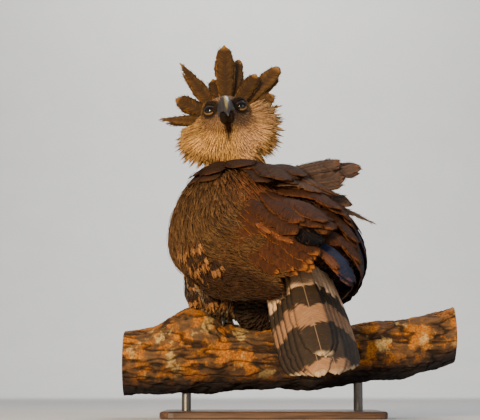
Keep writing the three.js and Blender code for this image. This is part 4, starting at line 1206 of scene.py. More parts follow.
def rump(material):
    """Long coverts from the rump over the tail's root"""
    draw = np.random.default_rng(81)
    vanes = Vanes(16)
    count = 9
    tailward = unit(tail_axes.ahead * 0.75 - body_axes.ahead * 0.25)
    for layer, (place, size, depth) in enumerate(RUMP_LAYERS):
        angle = (np.linspace(-46, 46, count) + 3 * layer) * DEGREE
        point, out, _, _ = frame_at(torso_point, np.full(count, float(place)), angle)
        out = unit(out - tailward * dot(out, tailward)[:, None])
        root = point - out * (depth + 5 * (np.abs(angle) / 0.8) ** 2)[:, None]
        spine, ups = freed(root, tailward, out, size * draw.uniform(0.88, 1.05, count), -0.02, 24)
        vanes.add(
            spine,
            ups,
            ragged(spine, "round", 40 * draw.uniform(0.9, 1.1, count), draw, 0.05, 3, 0.3),
            thick=1.0,
            tint=varied(body_tint(point), draw, count, 0.1),
            marks=stacked(0.6, 0.2, draw.random(count)),
            camber=0.16,
            drags=tip_drags(spine, 16, draw, 6),
        )
    vanes.make("rump", "body_feathers", material, atlas=True)


TAIL_PAIRS = 6
TAIL_ARCH = 84
TAIL_LAYER = 2.5
TAIL_FEATHER = 62  # width of the middle ones


def tail(material):
    """Twelve broad barred feathers stacked like tiles from the middle out"""
    draw = np.random.default_rng(91)
    vanes = Vanes(16)
    fray_from = smooth(0.9, 1, np.linspace(0, 1, 60))[None, :, None]
    for pair in range(TAIL_PAIRS):
        for side in (-1, 1):
            lean = (2 + pair * 7) * DEGREE
            spread = side * (0.2 + pair * 0.35) * DEGREE
            layer = TAIL_LAYER * (2 * pair + (0 if side > 0 else 1))
            root = tail_axes.at(side * TAIL_ARCH * sin(lean), 8, -TAIL_ARCH * (1 - cos(lean)) - layer)
            way = tail_axes.way(sin(spread), cos(spread), 0)
            out = tail_axes.way(side * sin(lean), 0, cos(lean))
            length = TAIL_LENGTH * (0.8 if pair == 0 else 0.905 - 0.03 * (pair - 1))
            spine, ups = freed(root, way, out, length, -0.05, 60)
            vanes.add(
                spine,
                ups,
                ragged(spine, "long", TAIL_FEATHER - pair, draw, 0.012, 2, 0.2),
                thick=1.3,
                tint=varied(colour(164, 119, 82), draw, 1, 0.06),
                marks=stacked(0.15, 0, draw.random(1)),
                camber=0.2,
                drags=fray_from * draw.uniform(-1, 1, (1, 1, 16)) * 4,
            )
    return vanes.make("tail_feathers", "tail_feathers", material, atlas=True)


# Crest feathers as seen from the front: degrees from the head's top, reach from its centre, width, outline,
# backward lean
CREST = [
    (-74.5, 137, 25, "lance", 10), (-49, 122, 33, "broad", 14), (-24, 181, 31, "lance", 12),
    (-6.5, 115, 25, "broad", 22), (7, 195, 37, "broad", 14), (16.5, 178, 30, "broad", 24),
    (36, 131, 30, "broad", 12), (44, 190, 34, "broad", 20), (60, 126, 30, "broad", 16),
    (76.5, 120, 17, "lance", 10),
]
CREST_ROOT = 30


def crest(material, loose):
    """Broad crest feathers in threes and narrow ones singly"""
    draw = np.random.default_rng(101)
    vanes = Vanes(16)
    for i, (turn, reach, width, outline, back) in enumerate(CREST):
        for off in (-1, 0, 1) if width > 20 else (0,):
            angle = -(turn + off * 2.6) * DEGREE
            tilt = (back + 3.2 * abs(off)) * DEGREE
            way = head_axes.way(sin(angle) * cos(tilt), -sin(tilt), cos(angle) * cos(tilt))
            out = head_axes.way(sin(angle) * sin(tilt), cos(tilt), cos(angle) * sin(tilt))
            behind = -20 - (i % 3) * 5 - 2.2 * abs(off)
            root = head_axes.at(sin(angle) * CREST_ROOT, behind, cos(angle) * CREST_ROOT)
            size = (reach - CREST_ROOT) / cos(tilt) * (0.9 - 0.04 * draw.random() if off else 1)
            spine, ups = freed(root, way, out, size, -0.04, 36)
            blades = vanes.add(
                spine,
                rolled(spine, ups, draw.normal(0, 0.05, 1)),
                ragged(spine, outline, width * (0.86 if off else 1), draw, 0.02, 2, 0.35),
                thick=1.1,
                tint=mix(colour(82, 58, 32), colour(118, 84, 46), draw.random(1)),
                marks=stacked(0.6, 0.5, draw.random(1)),
                camber=0.12,
                drags=tip_drags(spine, 16, draw, 4, 0.9),
            )
            fringe(loose, blades, draw, 60, 8, 0.15)
    vanes.make("crest", "face_feathers", material, atlas=True)


# Rings of the ruff: count, radius at the roots, reach, place ahead, backward lean, first and last degrees,
# width
RUFF_RINGS = [
    (66, 58, 124, -16, 10, 84, 166, 6),
    (64, 56, 117, -8, 6, 86, 164, 5.4),
    (62, 54, 108, 2, 4, 88, 160, 5),
    (58, 50, 98, 10, 2, 90, 158, 4.6),
]
TEMPLE = 26  # degrees by which the ruff reaches higher on the side that the head shows more of


def ruff(material):
    """Narrow feathers that stand out round the face from the temples to under the chin"""
    draw = np.random.default_rng(111)
    vanes = Vanes(8)
    for many, inner, outer, ahead, back, first, last, width in RUFF_RINGS:
        for side, copy in ((-1, 0), (-1, 1), (1, 0), (1, 1)):
            higher = TEMPLE if side < 0 else 0
            count = many + higher // 2
            share = (np.arange(count) + draw.uniform(-0.5, 0.5, count)) / (count - 1)
            start = first - higher
            turn = side * (start + (last - start) * share) * DEGREE
            tilt = (back + draw.normal(0, 5, count)) * DEGREE
            reach = outer * draw.uniform(0.86, 1.0, count) - 4 * copy
            low = smooth(125, 165, np.abs(turn) / DEGREE)
            high = 1 - smooth(82 - higher, 112 - higher, np.abs(turn) / DEGREE)
            reach = reach * (1 - 0.18 * low - 0.2 * high)
            sine, cosine = np.sin(turn), np.cos(turn)
            root = head_axes.at(sine * inner, ahead - 2 * copy, cosine * inner * 0.9 - 6)
            way = head_axes.way(sine * np.cos(tilt), -np.sin(tilt), cosine * np.cos(tilt))
            out = head_axes.way(sine * np.sin(tilt), np.cos(tilt), cosine * np.sin(tilt))
            spine, ups = freed(root, way, out, reach - inner, draw.normal(-0.06, 0.05, count), 11)
            vanes.add(
                spine,
                rolled(spine, ups, draw.normal(0, 0.25, count)),
                ragged(spine, "lance", width * draw.uniform(0.8, 1.3, count), draw, 0.08, 1, 0.3),
                thick=0.7,
                tint=varied(head_tint(spine[:, 6]), draw, count, 0.16, 1, 0.6, 1.5),
                marks=stacked(0.5, 0.3, draw.random(count)),
                camber=0.12,
            )
    vanes.make("ruff", "face_feathers", material)


CHIN = {"side": 11, "top": -20, "bottom": -62, "count": 420}


def bristles(skin, material):
    """Dark bristles under the bill, which narrow to a point on the throat; their dark tint is partly painted
    shadow of the bill
    """
    draw = np.random.default_rng(121)
    count = CHIN["count"]
    drop = draw.random(count) ** 1.3
    side = draw.uniform(-1, 1, count) * (CHIN["side"] * (1 - 0.85 * drop))
    roots, normals = skin.nearest(head_axes.at(side, 60, CHIN["top"] + (CHIN["bottom"] - CHIN["top"]) * drop))
    aim = head_axes.at(0, 30, -110)
    length = draw.uniform(9, 17, count)
    spine, ups, share = grown(skin, roots, normals, lambda p: unit(aim - p), length, 5, draw, 0.1)
    strands(
        "bristles", "face_feathers", material,
        spine + ups * ((0.5 + 5 * share) * draw.uniform(0.7, 1.2, (count, 1)))[..., None],
        ups,
        draw.uniform(0.6, 1.1, (count, 1)) * outline_at("soft", share),
        thick=0.4,
        tint=mix(colour(34, 22, 14), colour(96, 58, 30), draw.random(count) ** 2),
        marks=stacked(0, 0, draw.random(count)),
    )


# Bill

# Ahead and up of the ridge, ahead and up of the cutting edge, half width there
UPPER_BILL = [
    (42, 21, 42, -13, 18), (58, 23, 58, -14.5, 16.5), (72, 20.5, 72, -15, 14), (84, 13.5, 83, -16.5, 11.5),
    (94, 2.5, 90.5, -19, 8.5), (101, -9, 94.5, -22.5, 6), (104.5, -20, 98, -26.5, 4),
    (105.5, -30, 101.5, -32, 2.2), (105, -36, 103.5, -36.4, 0.9),
]
LOWER_BILL = [
    (42, -29, 42, -14, 15.5), (58, -30, 58, -15.3, 14), (74, -29, 74, -16, 11), (84, -27, 84, -18, 7.5),
    (89, -25, 89, -20.5, 4),
]
CERE_EDGE = 66  # the cere's front edge, ahead of the head's centre
MOUTH_GAP = 0.6
NOSTRIL_AHEAD = 61
NOSTRIL_UP = 4
TOOTH_AHEAD = 86


def bill_half(name, stations, gap, material, cere):
    rows, sides = 80, 48
    ridge_ahead, ridge, edge_ahead, edge, half = [x[:, None] for x in curve_through(stations, rows).T]
    edge = edge + gap
    angle = pi * (np.arange(sides) / (sides - 1) - 0.5)[None]
    rise = rounded(np.cos(angle), 0.9)
    across = half * rounded(np.sin(angle), 0.95)
    up = edge + (ridge - edge) * rise
    ahead = edge_ahead + (ridge_ahead - edge_ahead) * rise
    if cere:
        swell = 0.9 * (1 - smooth(CERE_EDGE - 1.5, CERE_EDGE + 1.5, ahead - 3 * np.cos(angle)))
        across = across * (1 + swell / 18)
        up = up + swell * np.cos(angle)
        nostril = bump(ahead, NOSTRIL_AHEAD, 2.6) * bump(up, NOSTRIL_UP, 3.2) * smooth(6, 10, np.abs(across))
        across = across * (1 - 0.16 * nostril)
        tooth = bump(ahead, TOOTH_AHEAD, 5) * smooth(0.55, 1, np.abs(np.sin(angle)))
        up = up - 1.1 * tooth
    flat = np.linspace(0.8, -0.8, 7)[None]
    under = [half * flat, edge_ahead + 0 * flat, edge + 0.4 * np.sign(ridge - edge) + 0 * flat]
    across, ahead, up = [np.concatenate([x, y], 1) for x, y in zip((across, ahead, up), under)]
    piece = turned_out(tubes(name, [head_axes.at(across, ahead, up)], "horn"))
    return finished(piece, material, ring_map(*across.shape), place=stacked(across, ahead, up))


# Eyes and lids

EYE_BULGE = 0.07
LIDS = {"wide": 11.4, "high": 9.4, "upper": 0.78, "lower": 0.95}


def eye_centre(side):
    return head_axes.at(side * EYE_PLACE["side"], EYE_PLACE["ahead"], EYE_PLACE["up"])


def eye_axes(side):
    """The eye's way aside, its way up and the way it looks"""
    look = unit(head_axes.way(side * 0.3, 0.95, 0.0))
    aside = unit(np.cross(head_axes.up, look))
    return aside, np.cross(look, aside), look


def eye(side, name, material):
    """An eyeball with a clear bulge over the iris"""
    rows, sides = 40, 48
    aside, rise, look = eye_axes(side)
    turn = (pi * (np.arange(rows) + 0.5) / rows)[:, None]
    angle = turns(sides)[None]
    radius = (EYE_RADIUS - 0.9) * (1 + EYE_BULGE * (1 - smooth(0.35, 0.75, turn)))
    x, y = np.sin(turn) * np.cos(angle), np.sin(turn) * np.sin(angle)
    points = eye_centre(side) + look * (radius * np.cos(turn))[..., None]
    points = points + aside * (radius * x)[..., None] + rise * (radius * y)[..., None]
    out = np.where(turn < 1.57, np.sin(turn), 2 - np.sin(turn))
    piece = turned_out(tubes(name, [points], "eye"))
    return finished(piece, material, ring_map(rows, sides), place=stacked(x, y, out))


def lids(side, name, material):
    """The rims of the eye: an almond ring of bare skin, heavier above, that lies on the eyeball"""
    steps, sides = 72, 14
    aside, rise, look = eye_axes(side)
    centre = eye_centre(side)
    sine = np.sin(turns(steps))
    x = LIDS["wide"] * np.cos(turns(steps))
    y = LIDS["high"] * sine * np.where(sine > 0, LIDS["upper"], LIDS["lower"])
    z = np.sqrt(np.clip((EYE_RADIUS + 0.2) ** 2 - x**2 - y**2, 1, None))
    path = centre + aside * x[:, None] + rise * y[:, None] + look * z[:, None]
    radial = unit(path - centre)
    way = unit(np.roll(path, -1, 0) - np.roll(path, 1, 0))
    other = unit(np.cross(radial, way))
    thick = np.where(sine > 0, 2.2, 1.7)[:, None]
    around = turns(sides)[None]
    points = path[:, None] + other[:, None] * (np.cos(around) * (thick * 1.2))[..., None]
    points = points + radial[:, None] * (np.sin(around) * thick * 0.8)[..., None]
    loops, starts = grid_faces(steps, sides, closed_rows=True, closed_columns=True)
    piece = turned_out(mesh_of(name, points.reshape(-1, 3), loops, starts, "foot_skin"))
    low = np.repeat(1 - smooth(-0.5, 0.0, sine), sides)
    tint = mix(colour(22, 17, 15), colour(150, 108, 46), 0.75 * low)
    return finished(piece, material, ring_map(steps, sides), tint=tint)


# Feet and claws

TOES = {
    "inner": {"spread": -25, "length": 62, "radius": 11.5, "claw": 44},
    "middle": {"spread": 0, "length": 72, "radius": 11.5, "claw": 38},
    "outer": {"spread": 26, "length": 58, "radius": 10.5, "claw": 34},
    "rear": {"spread": 180, "length": 46, "radius": 12, "claw": 40},
}
TOE_STEPS = 110
FOOT_SIDES = 28
toe_shape = profile([(0, 1.1), (0.25, 0.92), (0.5, 1), (0.75, 0.86), (1, 0.62)])
# The limb's middle line and radius, from left to right
limb_line = profile([
    (-300, 104, 62), (-140, 109, 61), (0, 113, 59), (130, 121, 57), (250, 133, 56), (360, 162, 53),
])


def toe_path(leg, toe, start, end, count, rise):
    """Where a toe lies: over the limb's back from the foot, turned by its spread, and down round the limb"""
    line, radius = limb_line(leg["foot"][0])
    heading = (toe["spread"] + leg["turn"]) * DEGREE
    reach = radius + rise
    run = np.linspace(start, end, count)
    wrap = asin(leg["foot"][1] / reach) + run * cos(heading) / reach
    return stacked(leg["foot"][0] + run * sin(heading), reach * np.sin(wrap), line + reach * np.cos(wrap))


def scaled_tube(path, radii, outward, pitch):
    """Rings round a toe or shank, with a row of plates across the side that faces out, and their places"""
    way = unit(np.gradient(path, axis=0))
    v = unit(outward - way * dot(outward, way)[:, None])
    u = unit(np.cross(v, way))
    angle = turns(FOOT_SIDES)[None]
    run = np.concatenate([[0], np.cumsum(np.linalg.norm(np.diff(path, axis=0), axis=1))])[:, None]
    saw = (run / pitch) % 1
    plate = np.clip(np.minimum(saw / 0.14, (1 - saw) / 0.5), 0, 1) ** 0.7
    facing = smooth(-0.1, 0.75, np.sin(angle))
    small = 0.5 + 0.5 * np.sin(angle * 9 + run * 0.9) * np.sin(run * 1.7)
    reach = radii[:, None] + (facing * plate + (1 - facing) * 0.6 * small - 0.7)
    rings = path[:, None] + u[:, None] * (np.cos(angle) * reach)[..., None]
    rings = rings + v[:, None] * (np.sin(angle) * reach)[..., None]
    return rings, stacked(np.cos(angle), run, facing * plate)


def foot(name, leg, material):
    """Shank and toes as one piece of overlapping closed tubes"""
    ankle, sole = vec(*leg["ankle"]), vec(*leg["foot"])
    shank = curve_through([ankle + vec(0, -4, 24), ankle, sole], 60)
    parts = [scaled_tube(shank, spread_out((15, 16, 18), 60), vec(0, -1, 0), 7)]
    middle = vec(0, 0, limb_line(leg["foot"][0])[0])
    for toe in TOES.values():
        path = toe_path(leg, toe, 0, toe["length"], TOE_STEPS, toe["radius"] - 1.5)
        outward = unit((path - middle) * vec(0, 1, 1))
        radii = toe["radius"] * toe_shape(np.linspace(0, 1, TOE_STEPS))[0]
        parts.append(scaled_tube(path, radii, outward, 4.6))
    rings, places = zip(*parts)
    places = np.concatenate([place.reshape(-1, 3) for place in places])
    share = np.arange(len(places)) / len(places)
    piece = turned_out(tubes(name, rings, "foot_skin"))
    return finished(piece, material, stacked(places[:, 0] * 0.45 + 0.5, share), place=places)


def claw(name, leg, toe, material):
    """A curved claw that leaves the toe's end and bends down the bark"""
    steps, sides = 48, 26
    base = toe_path(leg, toe, toe["length"] - 7, toe["length"] + 8, 3, toe["radius"] - 1)
    way = unit(base[2] - base[0])
    outward = unit(base[1] - vec(base[1][0], 0, limb_line(base[1][0])[0]))
    share = np.linspace(0, 1, steps)
    path = base[0] + way * (toe["claw"] * np.sin(1.5 * share) * 0.72)[:, None]
    path = path + outward * (toe["claw"] * (0.26 * np.sin(pi * share) - 0.16 * share**2))[:, None]
    radii = toe["radius"] * 0.66 * spread_out((1, 0.94, 0.74, 0.45, 0.06), steps)
    rings = round_rings(path, radii, sides, squash=0.86, across=np.cross(way, outward))
    piece = turned_out(tubes(name, [rings], "horn"))
    place = stacked(np.cos(turns(sides)) * 6, share[:, None] * 40, 0.0)
    return finished(piece, material, ring_map(steps, sides), place=place)


# Limb

# Place along the limb, degrees from the top towards the viewer, rise, spread along and round the limb
KNOTS = [
    (-142, 8, 42, 46, 50), (-196, 30, 16, 40, 46), (-60, -40, 7, 44, 40), (236, 60, 5, 38, 44),
    (90, 190, 5, 52, 60),
]
LIMB_LEFT = -285
LIMB_RIGHT = 350
LIMB_COLUMNS = 240
LIMB_ROWS = 388
END_SHARES = (0.985, 0.9, 0.7, 0.5, 0.3, 0.12)  # radii of the rings that close the sawn ends


def bark_rise(x, angle):
    """Rise of the bark over the limb's own radius"""
    rise = 1.4 * np.sin(x * 0.07 + angle * 0.09) + 1.2 * np.sin(x * 0.031 - angle * 0.05 + 2)
    for place, middle, height, wide, round_wide in KNOTS:
        turn = (angle - middle + 180) % 360 - 180
        rise = rise + height * np.exp(-(((x - place) / wide) ** 2) - (turn / round_wide) ** 2)
    return rise


def limb(material):
    """Bark with furrows, flakes and lumps, and sawn ends"""
    x = np.linspace(LIMB_LEFT, LIMB_RIGHT, LIMB_ROWS)[:, None]
    angle = (360 * np.arange(LIMB_COLUMNS) / LIMB_COLUMNS)[None]
    around = angle * DEGREE
    line, radius = limb_line(x)
    reach = radius + bark_rise(x, angle)
    plain = stacked(x, -reach * np.sin(around), line + reach * np.cos(around))
    furrow = 1 - np.abs(noise(plain * vec(0.24, 1, 1), 17, 21, 3))
    relief = -3 * smooth(0.9, 1, furrow) + 2.5 * noise(plain * vec(0.8, 1, 1), 9, 22, 3)
    relief = relief + 2.4 * noise(plain, 46, 23, 2)
    ends = smooth(LIMB_LEFT - 1, LIMB_LEFT + 8, x) * (1 - smooth(LIMB_RIGHT - 8, LIMB_RIGHT + 1, x))
    reach = reach + relief * (0.3 + 0.7 * ends) - 0.5
    rings = stacked(x, -reach * np.sin(around), line + reach * np.cos(around))
    start, stop = rings[0].mean(0), rings[-1].mean(0)
    first = [start + (rings[0] - start) * s for s in END_SHARES[::-1]]
    last = [stop + (rings[-1] - stop) * s for s in END_SHARES]
    rings = np.concatenate([first, rings, last])
    piece = turned_out(tubes("limb", [rings], "bark"))
    shape = rings.shape[:2]
    hollow, cut, over = np.zeros(shape), np.ones(shape), np.ones(shape)
    bark = slice(len(END_SHARES), -len(END_SHARES))
    # the furrows' bottoms, which the look darkens as painted shade
    hollow[bark] = smooth(0.8, 1, furrow)
    cut[bark] = 0
    # how far each place faces up and towards the viewer, which the look uses for painted shade underneath
    over[bark] = np.cos(around - 0.35)
    places = stacked(*np.meshgrid(*[np.linspace(0.01, 0.99, count) for count in shape], indexing="ij"))
    return finished(piece, material, places.reshape(-1, 2), relief=stacked(hollow, cut, over))


# Materials


class Term:
    """A value that a material's nodes work out"""

    def __init__(self, look, socket):
        self.look = look
        self.socket = socket

    def __add__(self, other):
        return self.look.math("ADD", self, other)

    def __sub__(self, other):
        return self.look.math("SUBTRACT", self, other)

    def __rsub__(self, other):
        return self.look.math("SUBTRACT", other, self)

    def __mul__(self, other):
        return self.look.math("MULTIPLY", self, other)

    def __abs__(self):
        return self.look.math("ABSOLUTE", self)


class Look:
    """A material being built. Colours are terms, arrays of light, or tuples from 0 to 255."""

    def __init__(self, name, roughness, specular, metallic=0.0):
        self.material = bpy.data.materials.new(name)
        self.material.use_nodes = True
        tree = self.material.node_tree
        self.nodes, self.links = tree.nodes, tree.links
        self.nodes.clear()
        out = self.nodes.new("ShaderNodeOutputMaterial")
        self.shader = self.nodes.new("ShaderNodeBsdfPrincipled")
        self.links.new(self.shader.outputs[0], out.inputs[0])
        settings = {"Roughness": roughness, "Specular IOR Level": specular, "Metallic": metallic}
        for key, value in settings.items():
            self.put(self.shader.inputs[key], value)

    def node(self, kind, inputs=(), output=0, **settings):
        made = self.nodes.new(kind)
        for key, value in settings.items():
            setattr(made, key, value)
        for key, value in dict(inputs).items():
            self.put(made.inputs[key], value)
        return Term(self, made.outputs[output])

    def put(self, socket, value):
        if isinstance(value, Term):
            self.links.new(value.socket, socket)
        else:
            socket.default_value = value

    def math(self, operation, *values, clamp=False):
        return self.node("ShaderNodeMath", enumerate(values), operation=operation, use_clamp=clamp)

    def step(self, low, high, value):
        """0 below low, 1 above high, smooth between them"""
        inputs = {"Value": value, "From Min": low, "From Max": high}
        return self.node("ShaderNodeMapRange", inputs, interpolation_type="SMOOTHSTEP")

    def blend(self, factor, a, b, kind="MIX"):
        a, b = [colour(*x) if isinstance(x, tuple) else x for x in (a, b)]
        a, b = [x if isinstance(x, Term) else (*x, 1) for x in (a, b)]
        return self.node("ShaderNodeMix", {0: factor, 6: a, 7: b}, 2, data_type="RGBA", blend_type=kind)

    def ramp(self, low, high, value, a, b):
        return self.blend(self.step(low, high, value), a, b)

    def tint(self):
        return self.node("ShaderNodeAttribute", output="Color", attribute_name="tint")

    def parts(self, name):
        """The three numbers of an attribute"""
        return self.split(self.node("ShaderNodeAttribute", output="Vector", attribute_name=name))

    def split(self, vector):
        made = self.nodes.new("ShaderNodeSeparateXYZ")
        self.put(made.inputs[0], vector)
        return [Term(self, socket) for socket in made.outputs]

    def noise(self, vector, scale, detail=2.0, rough=0.5):
        if isinstance(vector, tuple):
            vector = self.node("ShaderNodeCombineXYZ", enumerate(vector))
        inputs = {"Vector": vector, "Scale": scale, "Detail": detail, "Roughness": rough}
        return self.node("ShaderNodeTexNoise", inputs)

    def position(self):
        """The place in the frame, in millimetres"""
        place = self.node("ShaderNodeTexCoord", output="Object")
        return self.node("ShaderNodeVectorMath", {0: place, 3: 1 / MM}, operation="SCALE")

    def finish(self, base, height, strength, distance, roughness=None):
        """Sets the colour, the relief and, where it varies, the roughness"""
        self.put(self.shader.inputs["Base Color"], base)
        relief = self.node("ShaderNodeBump", {"Height": height, "Strength": strength, "Distance": distance})
        self.put(self.shader.inputs["Normal"], relief)
        if roughness:
            self.put(self.shader.inputs["Roughness"], roughness)
        return self.material


WHITE = (255, 255, 255)
BARB_SLANT = 0.9
TAIL_BARB_SLANT = 0.55


def feather_look(name, rim, centre, barb, tip=0.9):
    """A feather's surface: barbs that slant from the shaft, a shaft line, a worn pale rim, a darker middle"""
    look = Look(name, 0.82, 0.08)
    rim_share, centre_share, _ = look.parts("marks")
    u, v, _ = look.parts("span")
    x, y, key = look.parts("place")
    side, edge = abs(x), abs(u)
    barbs = y - side * BARB_SLANT
    fine = look.noise((barbs * (1 / barb), side * 0.1, key), 0.9, 3, 0.6)
    clumps = look.noise((barbs * 0.16, side * 0.03, key), 1, 2, 0.5)
    base = look.blend(0.8, look.tint(), look.ramp(0.3, 0.7, fine, (112, 106, 100), WHITE), "MULTIPLY")
    base = look.blend(look.step(0.42, 0.72, clumps) * 0.45, base, (30, 22, 18))
    hair = look.noise((barbs * 0.55, side * 0.05, key), 1, 2, 0.7)
    base = look.blend(look.step(0.6, 0.72, hair) * 0.22, base, rim)
    middle = (1 - look.step(0.12, 0.62, edge)) * centre_share * (1 - look.step(0.75, 1.0, v))
    base = look.blend(middle, base, centre)
    worn = look.math("MAXIMUM", look.step(0.8, 1.0, edge), look.step(tip, tip + 0.1, v))
    base = look.blend(worn * look.step(0.25, 0.6, fine) * rim_share, base, rim)
    shaft = (1 - look.step(0.25, 0.7, side)) * (1 - look.step(0.6, 0.95, v))
    base = look.blend(shaft * 0.5, base, (70, 54, 42))
    return look.finish(base, fine + shaft * 0.8, 0.8, 0.0009)


TAIL_BARS = (60, 131, 178, 226, 312)  # millimetres from the tail's root where pale and dark change
TAIL_ROOT_HIGHLIGHT = (120, 150)  # the same for a painted highlight that lightens the pale band at its root, where the body's shadow falls
TAIL_TIP = (0.955, 0.99)


def tail_look():
    """Dark and pale bars with jagged edges, flecks in both, a pale tip, and painted highlight on the pale
    band at the root
    """
    look = Look("tail_look", 0.66, 0.35)
    _, v, _ = look.parts("span")
    x, y, key = look.parts("place")
    side = abs(x)
    lie = (y - side * TAIL_BARB_SLANT, side * 0.08, key)
    fine = look.noise(lie, 0.8, 3, 0.6)
    jag = (look.noise(lie, 0.22, 2, 0.6) - 0.5) * 26
    wave = (look.noise((x, y, key), 0.03, 2, 0.5) - 0.5) * 44
    place = y + 8 + jag + wave - side * -0.25
    edges = [look.step(bar - 3, bar + 3, place) * (-1, 1)[i % 2] for i, bar in enumerate(TAIL_BARS)]
    total = edges[0]
    for edge in edges[1:]:
        total = total + edge
    fleck = look.step(0.52, 0.72, look.noise((x, y, key), 0.11, 4, 0.65)) * 0.45
    pale = look.blend(fleck, look.tint(), (96, 74, 60))
    # painted highlight: the pale band at the root is lightened against the shadow that the body casts on it
    pale = look.blend(1 - look.step(*TAIL_ROOT_HIGHLIGHT, place), pale, (236, 190, 146))
    deep = look.blend(fleck, (54, 40, 25), (98, 70, 40))
    base = look.blend(look.math("ADD", total, 1, clamp=True), pale, deep)
    base = look.ramp(*TAIL_TIP, v, base, (200, 168, 128))
    base = look.blend(0.8, base, look.ramp(0.3, 0.7, fine, (168, 164, 160), WHITE), "MULTIPLY")
    shaft = 1 - look.step(0.4, 1.0, side)
    base = look.blend(shaft * 0.7, base, (150, 120, 92))
    return look.finish(base, fine + shaft * 1.2, 0.5, 0.0008)


def skin_look():
    look = Look("skin_look", 0.85, 0.2)
    down = look.noise(look.position(), 0.35, 3, 0.6)
    shade = look.ramp(0.3, 0.7, down, (90, 84, 80), (200, 196, 192))
    return look.finish(look.blend(0.9, look.tint(), shade, "MULTIPLY"), down, 0.6, 0.001)


def horn_look(name, bill=False, light=1.0):
    """Dark horn with fine growth streaks; the bill has a painted highlight along its ridge and a blue-grey
    cere. A light below 1 gives a darker copy of the horn, used as painted shade on the lower bill.
    """
    look = Look(name, 0.32, 0.5 * light)
    x, ahead, up = look.parts("place")
    streak = look.noise((x * 0.8, ahead * 0.12, up), 0.6, 4, 0.6)
    base = look.ramp(0.3, 0.75, streak, colour(26, 25, 27) * light, colour(66, 60, 56) * light)
    if bill:
        # painted highlight along the ridge of the upper bill
        ridge = (1 - look.step(0.8, 4.2, abs(x))) * look.step(CERE_EDGE - 6, CERE_EDGE + 6, ahead)
        base = look.blend(ridge * look.step(-26, -8, up) * 0.75, base, (150, 136, 84))
        pores = look.step(0.4, 0.7, look.noise((x, ahead, up), 0.9, 3, 0.6))
        skin = look.blend(pores, (44, 48, 58), (84, 88, 96))
        base = look.blend(1 - look.step(CERE_EDGE - 2, CERE_EDGE + 2, ahead), base, skin)
    return look.finish(base, streak, 0.35, 0.0006, streak * 0.3 + 0.2)


def eye_look():
    """A near black iris round a black pupil, under a clear wet front"""
    look = Look("eye_look", 0.14, 0.3)
    look.shader.inputs["Coat Weight"].default_value = 0.35
    look.shader.inputs["Coat Roughness"].default_value = 0.03
    x, y, out = look.parts("place")
    rays = look.noise((look.math("ARCTAN2", y, x) * 6, out, 0), 2.2, 3, 0.6)
    iris = look.ramp(0.3, 0.75, rays, (16, 10, 8), (44, 28, 16))
    base = look.ramp(0.36, 0.42, out, (4, 4, 5), iris)
    look.put(look.shader.inputs["Base Color"], look.ramp(0.66, 0.74, out, base, (12, 10, 10)))
    return look.material


def lid_look():
    look = Look("lid_look", 0.5, 0.4)
    grain = look.noise(look.position(), 0.9, 3, 0.6)
    shade = look.ramp(0.3, 0.7, grain, (120, 116, 112), WHITE)
    return look.finish(look.blend(0.8, look.tint(), shade, "MULTIPLY"), grain, 0.5, 0.0008)


def foot_look():
    """Ochre skin in small scales, with darker seams between the plates"""
    look = Look("foot_look", 0.5, 0.42)
    _, _, plate = look.parts("place")
    place = look.position()
    cells = look.node("ShaderNodeTexVoronoi", {"Vector": place, "Scale": 0.42}, feature="DISTANCE_TO_EDGE")
    grain = look.noise(place, 0.2, 4, 0.6)
    base = look.ramp(0.3, 0.7, grain, (168, 128, 52), (214, 176, 88))
    base = look.blend((1 - look.step(0.02, 0.12, cells)) * 0.5, base, (92, 68, 36))
    base = look.blend((1 - look.step(0.1, 0.5, plate)) * 0.25, base, (104, 76, 38))
    return look.finish(base, look.step(0, 0.2, cells) * 0.7 + grain, 0.6, 0.001)


def bark_look():
    """Weathered bark with orange lichen, cream patches, painted bluish shade on its underside and painted
    shade in its furrows; sawn wood at the ends
    """
    look = Look("bark_look", 0.88, 0.22)
    place = look.position()
    x, y, z = look.split(place)
    hollow, cut, over = look.parts("relief")
    grain = look.noise((x * 0.35, y, z), 0.12, 6, 0.65)
    base = look.ramp(0.3, 0.72, grain, (42, 29, 20), (118, 80, 44))
    base = look.blend(look.step(0.4, 0.65, look.noise(place, 0.013, 3, 0.5)) * 0.5, base, (110, 84, 58))
    lit = look.step(-0.9, 0.1, over)
    speckle = look.noise(place, 0.3, 4, 0.7)
    fine = look.step(0.35, 0.65, speckle)
    orange = look.step(0.47, 0.58, look.noise(place, 0.03, 6, 0.62)) * lit
    base = look.blend(orange * 0.85, base, look.blend(fine, (136, 70, 16), (196, 124, 34)))
    pale = look.step(0.56, 0.64, look.noise(place, 0.024, 5, 0.6)) * lit
    base = look.blend(pale * 0.8, base, look.blend(fine, (156, 120, 66), (206, 176, 112)))
    # painted bluish shade on the limb's underside
    base = look.blend((1 - look.step(-0.6, 0.3, over)) * 0.9, base, (17, 19, 25))
    # painted shade in the furrows
    base = look.blend(hollow * 0.85, base, (20, 14, 10))
    across = look.node("ShaderNodeCombineXYZ", {0: 0.0, 1: y, 2: z - 108})
    wave = {"Vector": across, "Scale": 0.09, "Distortion": 3.0, "Detail": 3.0}
    rings = look.node("ShaderNodeTexWave", wave, wave_type="RINGS", rings_direction="X")
    base = look.ramp(0.4, 0.6, cut, base, look.blend(rings, (176, 138, 92), (128, 92, 58)))
    return look.finish(base, grain * 1.4 + speckle * 0.6, 0.8, 0.002)


def board_look():
    look = Look("board_look", 0.45, 0.4)
    x, y, z = look.split(look.position())
    grain = look.noise((x * 0.06, y, z), 0.22, 6, 0.6)
    fine = look.noise((x * 0.3, y, z), 1.6, 3, 0.6)
    base = look.ramp(0.3, 0.7, grain, (58, 38, 26), (110, 76, 50))
    return look.finish(look.blend(fine * 0.35, base, (36, 24, 18)), fine, 0.2, 0.0004, grain * 0.25 + 0.32)


